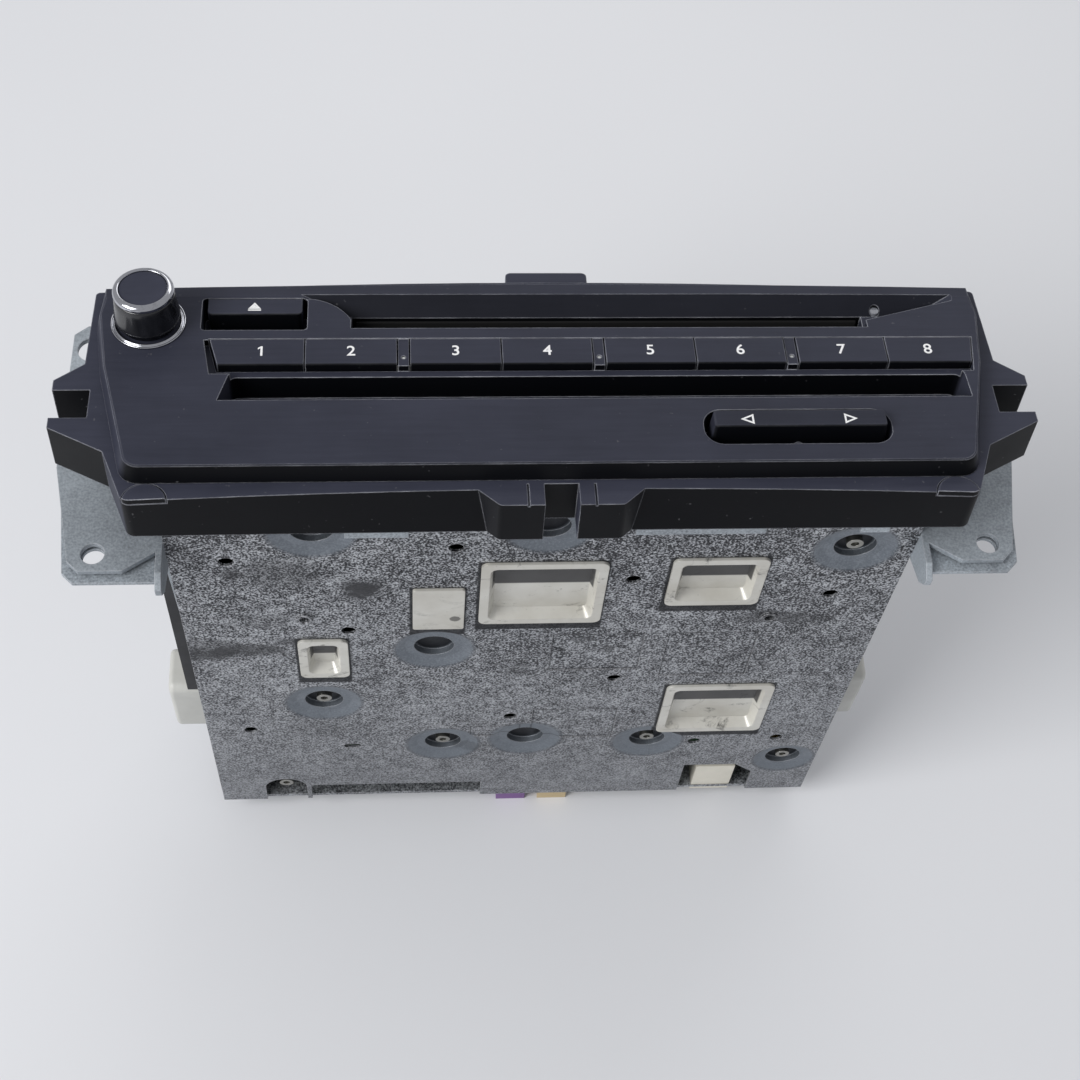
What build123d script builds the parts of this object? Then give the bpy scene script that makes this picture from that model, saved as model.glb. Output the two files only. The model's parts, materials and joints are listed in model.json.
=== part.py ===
from build123d import *
import os
from math import cos, radians, sin

# Car head unit, in millimetres.
# Body axes: X is the width, Y runs from the bottom cover to the top cover, Z from the rear edge to the face.
# Face axes: u along the width, v up the face, w out of it, starting at the lower edge of the bezel.

# Case
BODY_WIDTH = 180.0
BODY_HEIGHT = 52.0
BODY_DEPTH = 157.4
SHEET = 0.8
REAR_SHEET = 1.2
COVER_REACH = 8.4
COVER_LIP = 6.0
REAR_PROUD = 8.0
FIT_GAP = 0.1
RUNNING_FIT = 0.05
MAIN_BOARD_LEVEL = 9.0

# Face
FACE_TILT = 7.0
FACE_STANDOFF = 30.0
FACE_DROP = 7.2
FOOT_WIDTH = 190.0
HEAD_WIDTH = 212.0
FACE_HEIGHT = 63.4
FOOT_CROWN = 2.4
SKIRT_CROWN = 0.3
HEAD_CROWN = 3.3
FOOT_ROUND = 2.4
HEAD_ROUND = 1.0
BEZEL_WALL = 2.2
SKIRT_DEPTH = 12.4
SKIRT_BACK = 1.8
BOSS_U = 1.0
BOSS_WIDTH = 27.6
BOSS_FLARE = 4.8
BOSS_DROP = 2.1
BOSS_ROUND = 1.6
NOTCH_WIDTH = 7.7
NOTCH_TOP = 3.9
SLIT_SPACING = 15.0
SLIT_WIDTH = 0.4
SLIT_DEPTH = 0.6
TAB_U = 1.4
TAB_WIDTH = 19.9
TAB_TOP = 72.05
TAB_FRONT = -2.0
TAB_THICKNESS = 3.0
TAB_CORNER = 1.3
COLLAR_INSET = 6.0
COLLAR_FOOT = 6.0
COLLAR_HEAD = 50.0
COLLAR_WALL = 2.0

HEAD_CROWN_FIT = 0.7
HEAD_HALF = HEAD_WIDTH / 2
FOOT_HALF = FOOT_WIDTH / 2
SIDE = BODY_WIDTH / 2

# Prongs at the sides of the bezel: u and v of their corners
PRONG_ROOT_LOW = (HEAD_HALF - 5.7, 14.2)
PRONG_ROOT_HIGH = (HEAD_HALF + 0.5, 40.5)
PRONG_TIP = HEAD_HALF + 7.1
PRONG_NECK = HEAD_HALF - 1.4
LOWER_PRONG = (21.3, 24.2)
UPPER_PRONG = (32.5, 35.5)

# Corner plugs
PLUG_U = FOOT_HALF - 4.8
PLUG_RADIUS = 4.8
PLUG_DEPTH = 1.2
PLUG_PROUD = 0.4
PLUG_GAP = 0.2
PLUG_ROUND = 0.35

# Raised panel
PANEL_RISE = 4.5
PANEL_FOOT = 4.9
PANEL_HEAD = 62.0
PANEL_HEAD_CROWN = 1.4
PANEL_CORNER_U = FOOT_HALF + 0.6
PANEL_MID = (HEAD_HALF - 3.4, 36.0)
PANEL_HIGH = (HEAD_HALF - 1.2, 52.0)
PANEL_HEAD_U = HEAD_HALF - 2.0
PANEL_CORNER_RADIUS = 5.0
PANEL_WALL = 2.0
# Height over the bezel of each step of the panel's flank, its inset, and its inset at the head
PANEL_FLANK = [
    (0.0, 0.0, 0.0), (PANEL_RISE - 0.8, 1.0, 1.0), (PANEL_RISE - 0.2, 1.25, 3.85), (PANEL_RISE, 1.6, 4.8),
]
SPIGOT_INSET = 1.6
SPIGOT_DEPTH = 3.0
SPIGOT_WALL = 1.8
POCKET_WALL = 1.2

# Disc slot and the funnel above it
DISC_DIAMETER = 120.0
SLOT_SIDE_PLAY = 1.0
SLOT_U = 15.3
SLOT_FOOT = 47.3
SLOT_HEAD = 53.8
FUNNEL_HEAD = 58.3
FUNNEL_DEPTH = 3.4
# Edge of the funnel: distance from the slot's end, and v
FUNNEL_LEFT_EDGE = [(11.8, FUNNEL_HEAD), (11.0, 56.7), (8.5, 56.7), (4.6, 55.1), (0.0, 50.1)]
FUNNEL_RIGHT_EDGE = [(0.0, 49.6), (22.0, 56.0), (22.5, FUNNEL_HEAD)]
FUNNEL_SHELF = (8.6, 22.0)
# How far from its right end the funnel starts to come up to the panel
FUNNEL_RISE = 9.0
FELT_THICKNESS = 0.6
FELT_INSET = 1.0
FELT_START = -2.6
SLOT_HALF = DISC_DIAMETER / 2 + SLOT_SIDE_PLAY
SLOT_LEFT = SLOT_U - SLOT_HALF
SLOT_RIGHT = SLOT_U + SLOT_HALF

# Place of the volume knob
KNOB_INSET = 13.8
KNOB_U = KNOB_INSET - HEAD_HALF
KNOB_V = 49.3

# Eject button in its recess, between the knob and the funnel
EJECT_RECESS = (KNOB_U + 12.0, SLOT_LEFT - 10.1, 46.8, 57.0)
EJECT_U = (EJECT_RECESS[0] + 1.3, EJECT_RECESS[1] - 1.2)
EJECT_V = (51.8, 56.8)
EJECT_ROUND = 1.2
EJECT_FLOOR = -2.6
EJECT_TRAVEL = 1.2
EJECT_CORNER = 1.0
EJECT_STEM = (4.0, 1.5)
EJECT_FLOOR_GAP = 0.3

# Preset keys
KEY_COUNT = 8
PILLAR_COUNT = 3
ROW_START = KNOB_U + 16.3
ROW_END = HEAD_HALF - 6.8
# How much narrower the first and the last key are, and how far their outer sides lean out
FIRST_KEY_CUT = 1.35
LAST_KEY_CUT = 1.3
FIRST_KEY_LEAN = 2.0
LAST_KEY_LEAN = 1.2
KEY_GAP = 0.3
PILLAR_WIDTH = 2.5
ROW_GAPS = (KEY_COUNT + PILLAR_COUNT - 1) * KEY_GAP
ROW_CUTS = FIRST_KEY_CUT + LAST_KEY_CUT
KEY_WIDTH = (ROW_END - ROW_START - PILLAR_COUNT * PILLAR_WIDTH - ROW_GAPS + ROW_CUTS) / KEY_COUNT
KEY_V = (35.9, 43.7)
KEY_PROUD = 0.15
KEY_TRAVEL = 0.9
KEY_BACK = -2.0
KEY_STEM_END = -3.2
KEY_STEM = (2.5, 1.6)
KEY_EDGE_ROUND = 0.35
KEY_RIDGE_ROUND = 0.45
KEY_WALL = 1.2
KEY_ROOF = 1.6
LEDGE_LEVEL = 2.4
LEDGE_BACK = 0.6
# Left side of the ledge under the keys, at its head and at its foot
LEDGE_LEFT = (ROW_START - 3.4, ROW_START - 1.7)
PILLAR_SINK = 0.25
GUIDE_RADIUS = 0.45
GUIDE_SINK = 0.5
GUIDE_V = 38.2

# Finger groove under the keys
GROOVE_V = (25.2, 33.8)
GROOVE_FLOOR = -4.6
GROOVE_LEFT = (ROW_START + 0.5, ROW_START + 3.0)
GROOVE_RIGHT = (ROW_END - 2.0, ROW_END - 2.4)
GROOVE_ROUND = 2.0

# Seek rocker
ROCKER_RECESS = (GROOVE_RIGHT[0] - 63.5, GROOVE_RIGHT[0] - 20.5, 11.2, 21.4)
ROCKER_RECESS_RADIUS = 4.4
ROCKER_U = (ROCKER_RECESS[0] + 1.9, ROCKER_RECESS[1] - 1.5)
ROCKER_V = (14.3, 19.3)
ROCKER_TOP = 7.0
ROCKER_PIVOT_W = 0.6
ROCKER_PIN_RADIUS = 1.0
ROCKER_FLOOR = -2.4
ROCKER_BASE = -0.8
ROCKER_DRAFT = 4.0
ROCKER_FLARE = 0.4
ROCKER_SIDE_ROUND = 0.8
ROCKER_EDGE_ROUND = 0.4

# Status lens
LENS_U = SLOT_RIGHT + 3.4
LENS_V = 55.0
LENS_TOP = 2.05
LENS_RADIUS = 1.1
LENS_SEAT = -1.0
LENS_FLANGE = 0.6
LENS_END = -1.8

# Volume knob
KNOB_FOOT_RADIUS = 7.6
KNOB_HEAD_RADIUS = 6.85
KNOB_CAP_RADIUS = 5.5
KNOB_START = 5.1
KNOB_HEIGHT = 10.7
CHROME_HEIGHT = 2.2
BASE_RING_RADIUS = 8.6
BASE_RING_HEIGHT = 0.8
BASE_RING_GAP = 0.3
BASE_RING_STEP = 0.35
KNOB_PUSH = 0.5
KNOB_WALL = 1.6
KNOB_ROOF = 2.4
KNOB_CAP_DEPTH = 1.2
KNOB_CAP_SINK = 0.3
KNOB_DISH_DEPTH = 0.2
KNOB_DISH = (3.3, 4.9)
KNOB_SOCKET_SINK = 3.2
KNOB_BUSH_START = 0.8
CHROME_ROUND = 1.1
CHROME_OVERHANG = 0.1
SHAFT_RADIUS = 3.0
SHAFT_START = -5.6
SHAFT_HEAD_GAP = 0.3
ENCODER_HALF = 6.0
ENCODER_CASE_TOP = -1.5
ENCODER_BUSH_TOP = 1.5
ENCODER_BUSH_WALL = 1.2
ENCODER_BORE_START = -6.4
ENCODER_OPENING = 5.2
ROTOR_RADIUS = 4.8
ROTOR_START = -4.4
ROTOR_END = -2.4

# Board behind the face
KEY_BOARD_FRONT = -8.0
BOARD_THICKNESS = 1.6
MAT_THICKNESS = 1.2
MAT_END_INSET = 3.0
DOME_RADIUS = 3.0
DOME_HEAD_RADIUS = 2.0
DOME_GAP = 0.1
EJECT_DOME_TOP = -4.2
BOARD_FOOT = 6.5
BOARD_HEAD = 46.0
BOARD_WING_HEAD = 58.0
BOARD_WING = SLOT_LEFT - 4.3
BOARD_FOOT_U = FOOT_HALF - 5.0
BOARD_SIDE = (HEAD_HALF - 9.0, 20.0)
BOARD_HEAD_U = HEAD_HALF - 7.0
BOARD_WING_U = HEAD_HALF - 5.5
# Blocks on the back of the key board: u, v and depth
KEY_BOARD_PARTS = [(-20.0, 14.0, 22.0, 26.0, 4.0), (30.0, 44.0, 28.0, 40.0, 1.6)]

# Mounting flanges
FLANGE_SPACING = 211.8
FLANGE_HOLE_Y = -2.8
FLANGE_HOLE_RADIUS = 2.75
FLANGE_SLOT_Y = 55.5
FLANGE_SLOT_RADIUS = 3.5
FLANGE_SLOT_LENGTH = 16.0
FLANGE_SHEET = 1.5
FLANGE_HOLE_X = FLANGE_SPACING / 2
FLANGE_REACH = FLANGE_HOLE_X + 10.2
FLANGE_TOP = 62.7
FLANGE_FOOT = 7.4
FLANGE_INNER_FOOT = -1.5
FLANGE_FOOT_X = FLANGE_HOLE_X - 6.9
FLANGE_TOE_X = FLANGE_HOLE_X + 3.2
FLANGE_CORNER = 2.6
FLANGE_BELLY_Y = 21.0
FLANGE_SHOULDER_X = FLANGE_HOLE_X + 9.1
FLANGE_HEAD_X = FLANGE_HOLE_X + 5.8
EAR_FOOT_X = FLANGE_HOLE_X + 4.6
EAR_BELLY_X = FLANGE_HOLE_X + 9.6
EAR_HEAD_X = FLANGE_HOLE_X + 6.8
EAR_HEAD = 44.0
ARM_TOP = 40.0
ARM_LENGTH = 47.4
ARM_END = BODY_DEPTH - ARM_LENGTH
TOOTH_DROP = 11.6
# Side arm of a bracket: y and distance behind the flange's front
ARM_OUTLINE = [
    (ARM_TOP, ARM_LENGTH), (6.0, ARM_LENGTH), (2.6, 12.6), (-8.7, 8.2),
    (-TOOTH_DROP, 4.5), (-TOOTH_DROP, 2.2), (-8.0, 0.0), (ARM_TOP, 0.0),
]
PLATE_GAP = 1.0
PLATE_SHEET = 1.0
PLATE_FOOT = 9.2

# Side rails and glides
RAIL_REACH = SIDE + 6.0
RAIL_Y = (12.0, 28.0)
RAIL_START = 52.0
RAIL_CORNER = 2.0
RAIL_FOOT_CORNER = 0.4
RAIL_GROOVE = 1.2
RAIL_EDGE = 4.5
GLIDE_REACH = SIDE + 12.0
GLIDE_Y = (13.0, 27.0)
GLIDE_Z = (26.0, 51.6)
GLIDE_CORNER = 2.5
GLIDE_ROUND = 1.5

# Dimples of the bottom cover
DIMPLE_RADIUS = 10.5
DIMPLE_FLOOR_RADIUS = 7.6
DIMPLE_DEPTH = 1.2
CUP_RADIUS = 5.25
CUP_DEPTH = 3.0
SCREW_RADIUS = 1.5
SCREW_LENGTH = 5.6
SCREW_HEAD_RADIUS = 2.1
SCREW_HEAD_HEIGHT = 1.5
SCREW_SOCKET_RADIUS = 1.0
SMALL_HOLE_RADIUS = 1.9
PILLAR_RADIUS = 2.75

# Bottom cover: x and z of each feature
SCREWED_DIMPLES = [(-56.5, 68.4), (-23.3, 38.9), (36.9, 38.0), (75.6, 150.2)]
SIDE_DIMPLE = (80.2, 23.0)
COLLAR_SCREW = (-55.6, 160.4)
EDGE_SCREW = (-70.5, 9.0)
EMPTY_DIMPLES = [(-26.4, 100.0), (0.6, 41.6), (0.2, 161.1)]
SMALL_HOLES = [
    (-76.3, 147.8), (-48.4, 111.5), (-21.6, 153.2), (22.6, 136.6), (23.0, 81.0),
    (-4.4, 57.3), (-77.9, 51.3), (73.8, 127.8), (50.9, 37.4), (75.3, 38.9),
]
DRAWN_COLLARS = [(-59.2, 118.8), (60.1, 116.1)]
LARGE_TRAY = (-15.3, 15.9, 115.5, 146.0)
UPPER_TRAY = (31.5, 55.4, 124.0, 147.0)
LOWER_TRAY = (38.4, 68.8, 46.0, 76.0)
SMALL_TRAY = (-61.8, -48.8, 86.0, 107.0)
PATCH = (-32.0, -19.0, 113.0, 133.5)
EMBOSSINGS = [
    (4.5, 28.8, 86.5, 107.5), (35.0, 59.0, 82.0, 107.6), (1.8, 26.0, 42.0, 61.5), (-15.7, -1.0, 44.0, 51.0),
]
TRAY_PROUD = 0.8
TRAY_RIM = 1.2
TRAY_INSET = 2.3
TRAY_DEPTH = 3.0
TRAY_FLOOR = 0.6
TRAY_SLOPE = 1.4
EMBOSS_DEPTH = 0.3
REAR_NOTCH = (50.4, 66.0, 19.5)
REAR_NOTCH_FLARE = 6.0
REAR_RECESS = (-63.0, -11.4, 10.0)
HOOKS = [(-47.8, -32.9), (20.5, 51.5), (74.3, 81.3)]
HOOK_REACH = 5.6
DRAWN_COLLAR_RADIUS = 2.3
DRAWN_COLLAR_BORE = 1.4
DRAWN_COLLAR_HEIGHT = 0.7
SMALL_SLOT = (-52.0, -47.0, 37.6, 40.2)
SMALL_SLOT_CORNER = 1.2
EDGE_SCREW_OPENING = 6.2
TRAY_CORNER = 2.0
PAN_CORNER = 1.2
PATCH_CORNER = 0.8
SOCKET_DEPTH = 1.0

# Side walls and their screws
BRACKET_SCREW_Y = 34.0
BRACKET_SCREW_Z = (120.0, 145.0)
# Rear connectors: x and y of their housings
MAIN_SOCKET = (24.0, 76.0, MAIN_BOARD_LEVEL + BOARD_THICKNESS, 36.0)
SOCKET_END = 10.5
SOCKET_WALL = 1.5
SOCKET_RIB = 1.6
PIN_RADIUS = 0.5
PIN_START = -2.0
PIN_TAIL = 1.2
PIN_COUNT = 10
PIN_ROW_INSET = 5.6
PIN_END_INSET = 5.0
VIOLET_HOUSING = (-6.0, 3.0, 1.6, 12.6)
BEIGE_HOUSING = (7.0, 16.0, 1.6, 12.6)
ACCESSORY_HOUSING = (54.9, 66.9, 1.2, 8.4)
COAX_FRONT = 5.0
COAX_BORE = 3.7
COAX_PIN_RADIUS = 0.6
COAX_BOTTOM = 3.0
COAX_PIN_START = -3.4
COAX_KEY = (1.2, 1.0, 6.0)
ACCESSORY_START = -2.0
ACCESSORY_FLOOR = 12.0
ACCESSORY_FRONT = 15.2
ACCESSORY_WALL = 1.4
SINK_X = (-84.0, -22.0)
SINK_Y = (22.0, 48.0)
SINK_PLATE = 2.4
SINK_FIN = 1.6
SINK_FINS = 13

# Covers' lips and the top cover's stampings
LIP_START = 14.0
LIP_END_GAP = 4.0
VENT_X = 58.0
VENT_LENGTH = 32.0
VENT_WIDTH = 2.4
VENT_START = 84.0
VENT_PITCH = 6.0
VENTS = 9
STAMPING_X = (-60.0, -20.0, 20.0, 60.0)
STAMPING_WIDTH = 24.0
STAMPING_Z = (20.0, 60.0)

# Electronics: x, z and height of the parts on the main board
BOARD_HALF = 86.0
BOARD_REAR = 6.0
BOARD_PARTS = [
    (-74, -50, 40, 64, 2.6), (-40, -24, 96, 112, 2.2), (40, 62, 92, 112, 2.4),
    (-78, -66, 96, 120, 5.0), (66, 80, 60, 80, 6.0), (-30, -6, 142, 147, 4.2),
]
CAPACITORS = [(-60, 84), (-44, 84), (34, 70), (50, 70)]
CAPACITOR_RADIUS = 4.0
CAPACITOR_HEIGHT = 8.0
# Ribbon cable: y and z of its bends, and its limits along X
CABLE_ROUTE = [(15.0, 147.2), (15.0, 152.0), (24.0, 160.0), (24.0, 168.5)]
CABLE_THICKNESS = 0.35
CABLE_X = (-28.0, -8.0)

# Disc drive: places of z are measured from the rear edge
DISC_LEVEL = 42.4
DRIVE_Z = 86.0
DECK_LEVEL = 31.0
DECK_SHEET = 1.2
DECK_HALF = 64.0
DECK_Z = (12.0, 150.5)
DECK_OPENING_MARGIN = 6.0
DECK_OPENING_START = 12.0
DECK_BORE = 3.0
MOUNT_RADIUS = 5.0
MOUNT_COLLAR = 3.4
MOUNT_WAIST = 1.2
MOUNT_MARGIN = 1.0
MOUNT_X = (-40.0, 70.0)
MOUNT_Z = (25.0, 134.0)
BAR_LEVEL = 20.8
BAR_SHEET = 1.2
ROLLER_RADIUS = 3.4
ROLLER_SHAFT_RADIUS = 1.5
ROLLER_Z = 147.0
ROLLER_INSET = 3.0
ROLLER_EAR = 7.0
ROLLER_EAR_TOP = 41.6
SLED_REACH = (16.0, 32.0)
SLED_DROP = 3.0
SLED_RISE = 4.0
SLED_MARGIN = 2.6
LENS_HOLDER_RADIUS = 3.0
LENS_HOLDER_RISE = 3.0
ROD_RADIUS = 1.5
ROD_SPREAD = 20.0
ROD_LEVEL = 29.0
ROD_FIT = 0.01
ROD_Z = (15.4, 75.0)
LUG_THICKNESS = 1.6
LUG_HALF = 2.4
LUG_DROP = 3.0
SCREW_LINE = 28.0
LEAD_SCREW_RADIUS = 1.3
LEAD_SCREW_LEVEL = 25.0
LEAD_SCREW_Z = (15.6, 78.0)
LEAD_SCREW_LUG = (5.0, 3.0)
SLED_MOTOR_RADIUS = 5.4
SLED_MOTOR_Z = (73.1, 90.0)
SLED_MOTOR_BORE_END = 78.4
SPINDLE_MOTOR_RADIUS = 11.0
SPINDLE_MOTOR_GAP = 0.2
SPINDLE_BORE_START = 24.8
SPINDLE_START = 25.8
SPINDLE_RADIUS = 1.0
TURNTABLE_RADIUS = 14.0
TURNTABLE_FOOT = 35.0
TURNTABLE_ROOF = 39.0
TURNTABLE_WALL = 2.5
TURNTABLE_HUB = 3.0
CENTRING_CONE = (7.3, 6.6, 1.0)
# Clamp arm: level and z of its pivot
CLAMP_PIVOT = (47.6, 16.6)
CLAMP_SHEET = 1.0
CLAMP_HALF = 12.0
CLAMP_ROOT_HALF = 17.0
CLAMP_ROOT_LENGTH = 14.0
CLAMP_HINGE_RADIUS = 1.6
CLAMP_PIN_RADIUS = 1.2
CLAMP_PIN_LENGTH = 42.0
CLAMP_HINGE_LENGTH = 36.0
CLAMP_LUG = (20.0, 2.6, 2.8)
CLAMP_BORE = 2.0
CLAMP_CAP_RADIUS = 4.0
CLAMP_CAP_HEIGHT = 0.7
PUCK_THICKNESS = 1.6

# Derived places
COVER_FRONT = BODY_DEPTH + COVER_REACH
FLANGE_BACK = BODY_DEPTH - FLANGE_SHEET
PLATE_FRONT = FLANGE_BACK - PLATE_GAP
PLATE_BACK = PLATE_FRONT - PLATE_SHEET
LIP_END = PLATE_BACK - LIP_END_GAP
WALL_FOOT = SHEET + FIT_GAP
WALL_HEAD = BODY_HEIGHT - SHEET - FIT_GAP
COLLAR_HALF = SIDE - COLLAR_INSET
CUP_FLOOR = CUP_DEPTH + SHEET
ROLLER_LEVEL = DISC_LEVEL - ROLLER_RADIUS - FELT_THICKNESS
ROD_LUGS = [DRIVE_Z - ROD_Z[1], DRIVE_Z - ROD_Z[0] - LUG_THICKNESS]
SCREW_LUGS = [DRIVE_Z - SLED_MOTOR_Z[0] + RUNNING_FIT, DRIVE_Z - LEAD_SCREW_Z[0] - LUG_THICKNESS]
KEY_TOP = PANEL_RISE + KEY_PROUD
KNOB_CROWN = KNOB_START + KNOB_HEIGHT

facePlane = Plane(
    origin=(0, -FACE_DROP, BODY_DEPTH + FACE_STANDOFF),
    x_dir=(1, 0, 0),
    z_dir=(0, sin(radians(FACE_TILT)), cos(radians(FACE_TILT))),
)
FACE = facePlane.location
KNOB = FACE * Pos(KNOB_U, KNOB_V, 0)
# Cover axes: x and z of the body, and the third axis out of the bottom cover
COVER = Plane(origin=(0, 0, 0), x_dir=(1, 0, 0), z_dir=(0, -1, 0)).location
# Drive axes: origin under the disc's centre, third axis along the spindle, second axis to the rear
SPINDLE = Plane(origin=(SLOT_U, 0, DRIVE_Z), x_dir=(1, 0, 0), z_dir=(0, 1, 0)).location
# Side axes: y and z of the body, and the third axis along the width
SIDEWAYS = Plane(origin=(0, 0, 0), x_dir=(0, 1, 0), z_dir=(1, 0, 0)).location


def face_y(v, w):
    """Body Y of a point of the face."""
    return -FACE_DROP + v * cos(radians(FACE_TILT)) + w * sin(radians(FACE_TILT))


LOW_Y = min(-TOOTH_DROP, face_y(-BOSS_DROP, -SKIRT_DEPTH))
HIGH_Y = face_y(TAB_TOP, TAB_FRONT)
PLACE = Pos(0, -(LOW_Y + HIGH_Y) / 2, REAR_PROUD)


def block(x0, x1, y0, y1, z0, z1):
    """A box between its limits."""
    return Pos((x0 + x1) / 2, (y0 + y1) / 2, (z0 + z1) / 2) * Box(x1 - x0, y1 - y0, z1 - z0)


def rod(x, y, z0, z1, radius):
    """A cylinder along the third axis."""
    return Pos(x, y, (z0 + z1) / 2) * Cylinder(radius, z1 - z0)


def taper(x, y, z0, z1, r0, r1):
    """A cone along the third axis, r0 at z0 and r1 at z1."""
    return Pos(x, y, (z0 + z1) / 2) * Cone(r0, r1, z1 - z0)


def tube(x, y, z0, z1, outer, inner):
    """A ring along the third axis."""
    return rod(x, y, z0, z1, outer) - rod(x, y, z0, z1, inner)


def prism(points, z0, z1):
    """An outline of straight sides, drawn out along the third axis."""
    outline = make_face(Polyline(*points, close=True))
    return Pos(0, 0, z0) * extrude(outline, z1 - z0, dir=(0, 0, 1))


def rounded(x0, x1, y0, y1, z0, z1, radius):
    """A box with four round edges along the third axis."""
    outline = RectangleRounded(x1 - x0, y1 - y0, radius)
    return Pos((x0 + x1) / 2, (y0 + y1) / 2, z0) * extrude(outline, z1 - z0, dir=(0, 0, 1))


def mirrored(points):
    """An outline of the right half, closed with its mirror image."""
    return points + [(-x, y) for x, y in reversed(points)]


# Bezel
def bezel_outline(foot_crown):
    right = [
        (FOOT_HALF, 0),
        PRONG_ROOT_LOW,
        (PRONG_TIP, LOWER_PRONG[0]),
        (PRONG_TIP, LOWER_PRONG[1]),
        (PRONG_NECK, LOWER_PRONG[1]),
        (PRONG_NECK, UPPER_PRONG[0]),
        (PRONG_TIP, UPPER_PRONG[0]),
        (PRONG_TIP, UPPER_PRONG[1]),
        PRONG_ROOT_HIGH,
        (HEAD_HALF, FACE_HEIGHT),
    ]
    left = [(-u, v) for u, v in reversed(right)]
    head = ThreePointArc(right[-1], (0, FACE_HEIGHT + HEAD_CROWN), left[0])
    foot = ThreePointArc(left[-1], (0, foot_crown), right[0])
    outline = make_face(Polyline(*right) + head + Polyline(*left) + foot)
    outline = fillet(outline.vertices().group_by(Axis.Y)[0], FOOT_ROUND)
    return fillet(outline.vertices().group_by(Axis.Y)[-1], HEAD_ROUND)


def bezel_hollow_points():
    return mirrored([
        (FOOT_HALF - BEZEL_WALL, FOOT_CROWN + BEZEL_WALL),
        (PRONG_ROOT_LOW[0] - BEZEL_WALL, PRONG_ROOT_LOW[1]),
        (PRONG_NECK - BEZEL_WALL, UPPER_PRONG[0]),
        (HEAD_HALF - BEZEL_WALL, FACE_HEIGHT - BEZEL_WALL),
        (HEAD_HALF / 2, FACE_HEIGHT + HEAD_CROWN * HEAD_CROWN_FIT - BEZEL_WALL),
    ])


def panel_outline(inset, head_inset):
    """Edge of the raised panel, moved in by an inset, with another one for the head."""
    right = [
        (PANEL_CORNER_U - inset, PANEL_FOOT + inset),
        (PANEL_MID[0] - inset, PANEL_MID[1]),
        (PANEL_HIGH[0] - inset, PANEL_HIGH[1]),
        (PANEL_HEAD_U - inset, PANEL_HEAD - head_inset),
    ]
    left = [(-u, v) for u, v in reversed(right)]
    head = ThreePointArc(right[-1], (0, PANEL_HEAD + PANEL_HEAD_CROWN - head_inset), left[0])
    outline = make_face(Polyline(*right) + head + Polyline(*left) + Line(left[-1], right[0]))
    corners = outline.vertices().group_by(Axis.Y)[0]
    return fillet(corners, PANEL_CORNER_RADIUS - inset)


def plug_shape(radius, w0, w1):
    arc = ThreePointArc((-radius, 0), (0, radius), (radius, 0))
    outline = make_face(arc + Line((radius, 0), (-radius, 0)))
    return Pos(0, 0, w0) * extrude(outline, w1 - w0, dir=(0, 0, 1))


def bezel_frame():
    skirt_back = -SKIRT_DEPTH
    ends = [Pos(0, 0, skirt_back) * bezel_outline(SKIRT_CROWN), bezel_outline(FOOT_CROWN)]
    shell = loft(ends, ruled=True)
    half = BOSS_WIDTH / 2
    flare = half + BOSS_FLARE
    boss = make_face(Polyline(
        (BOSS_U - half, -BOSS_DROP),
        (BOSS_U + half, -BOSS_DROP),
        (BOSS_U + flare, FOOT_CROWN),
        (BOSS_U + flare, FOOT_CROWN + BEZEL_WALL),
        (BOSS_U - flare, FOOT_CROWN + BEZEL_WALL),
        (BOSS_U - flare, FOOT_CROWN),
        close=True,
    ))
    boss = fillet(boss.vertices().group_by(Axis.Y)[0], BOSS_ROUND)
    shell += Pos(0, 0, skirt_back) * extrude(boss, SKIRT_DEPTH, dir=(0, 0, 1))
    tab_edge = TAB_WIDTH / 2
    tab_back = TAB_FRONT - TAB_THICKNESS
    tab = rounded(-tab_edge, tab_edge, FACE_HEIGHT, TAB_TOP, tab_back, TAB_FRONT, TAB_CORNER)
    shell += Pos(TAB_U, 0, 0) * tab
    shell -= prism(bezel_hollow_points(), skirt_back + SKIRT_BACK, -BEZEL_WALL)
    opening = panel_outline(SPIGOT_INSET - FIT_GAP, SPIGOT_INSET - FIT_GAP)
    shell -= Pos(0, 0, -BEZEL_WALL) * extrude(opening, BEZEL_WALL, dir=(0, 0, 1))
    notch_edge = NOTCH_WIDTH / 2
    shell -= block(BOSS_U - notch_edge, BOSS_U + notch_edge, -BOSS_DROP, NOTCH_TOP, skirt_back, 0)
    for side in (-1, 1):
        slit = BOSS_U + side * SLIT_SPACING / 2
        shell -= block(slit - SLIT_WIDTH / 2, slit + SLIT_WIDTH / 2, -BOSS_DROP, NOTCH_TOP, -SLIT_DEPTH, 0)
        reach = PLUG_RADIUS + PLUG_GAP
        pocket = plug_shape(reach, -PLUG_DEPTH - FIT_GAP, 0)
        pocket += block(-reach, reach, -reach, 0, -PLUG_DEPTH - FIT_GAP, 0)
        shell -= Pos(side * PLUG_U, 0, 0) * pocket
    shell = FACE * shell
    reach = HEAD_WIDTH
    behind = FACE * block(-reach, reach, -reach, reach, -reach, skirt_back + SKIRT_BACK)
    collar_end = BODY_DEPTH + FACE_STANDOFF
    collar = block(-COLLAR_HALF, COLLAR_HALF, COLLAR_FOOT, COLLAR_HEAD, PLATE_FRONT, collar_end) & behind
    bore = block(
        -COLLAR_HALF + COLLAR_WALL,
        COLLAR_HALF - COLLAR_WALL,
        COLLAR_FOOT + COLLAR_WALL,
        COLLAR_HEAD - COLLAR_WALL,
        PLATE_FRONT,
        collar_end,
    ) & behind
    frame = shell + collar - bore
    screw_x, screw_z = COLLAR_SCREW
    bore_radius = SCREW_RADIUS + RUNNING_FIT
    return frame - COVER * rod(screw_x, screw_z, -COLLAR_FOOT - COLLAR_WALL, -COLLAR_FOOT, bore_radius)


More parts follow.
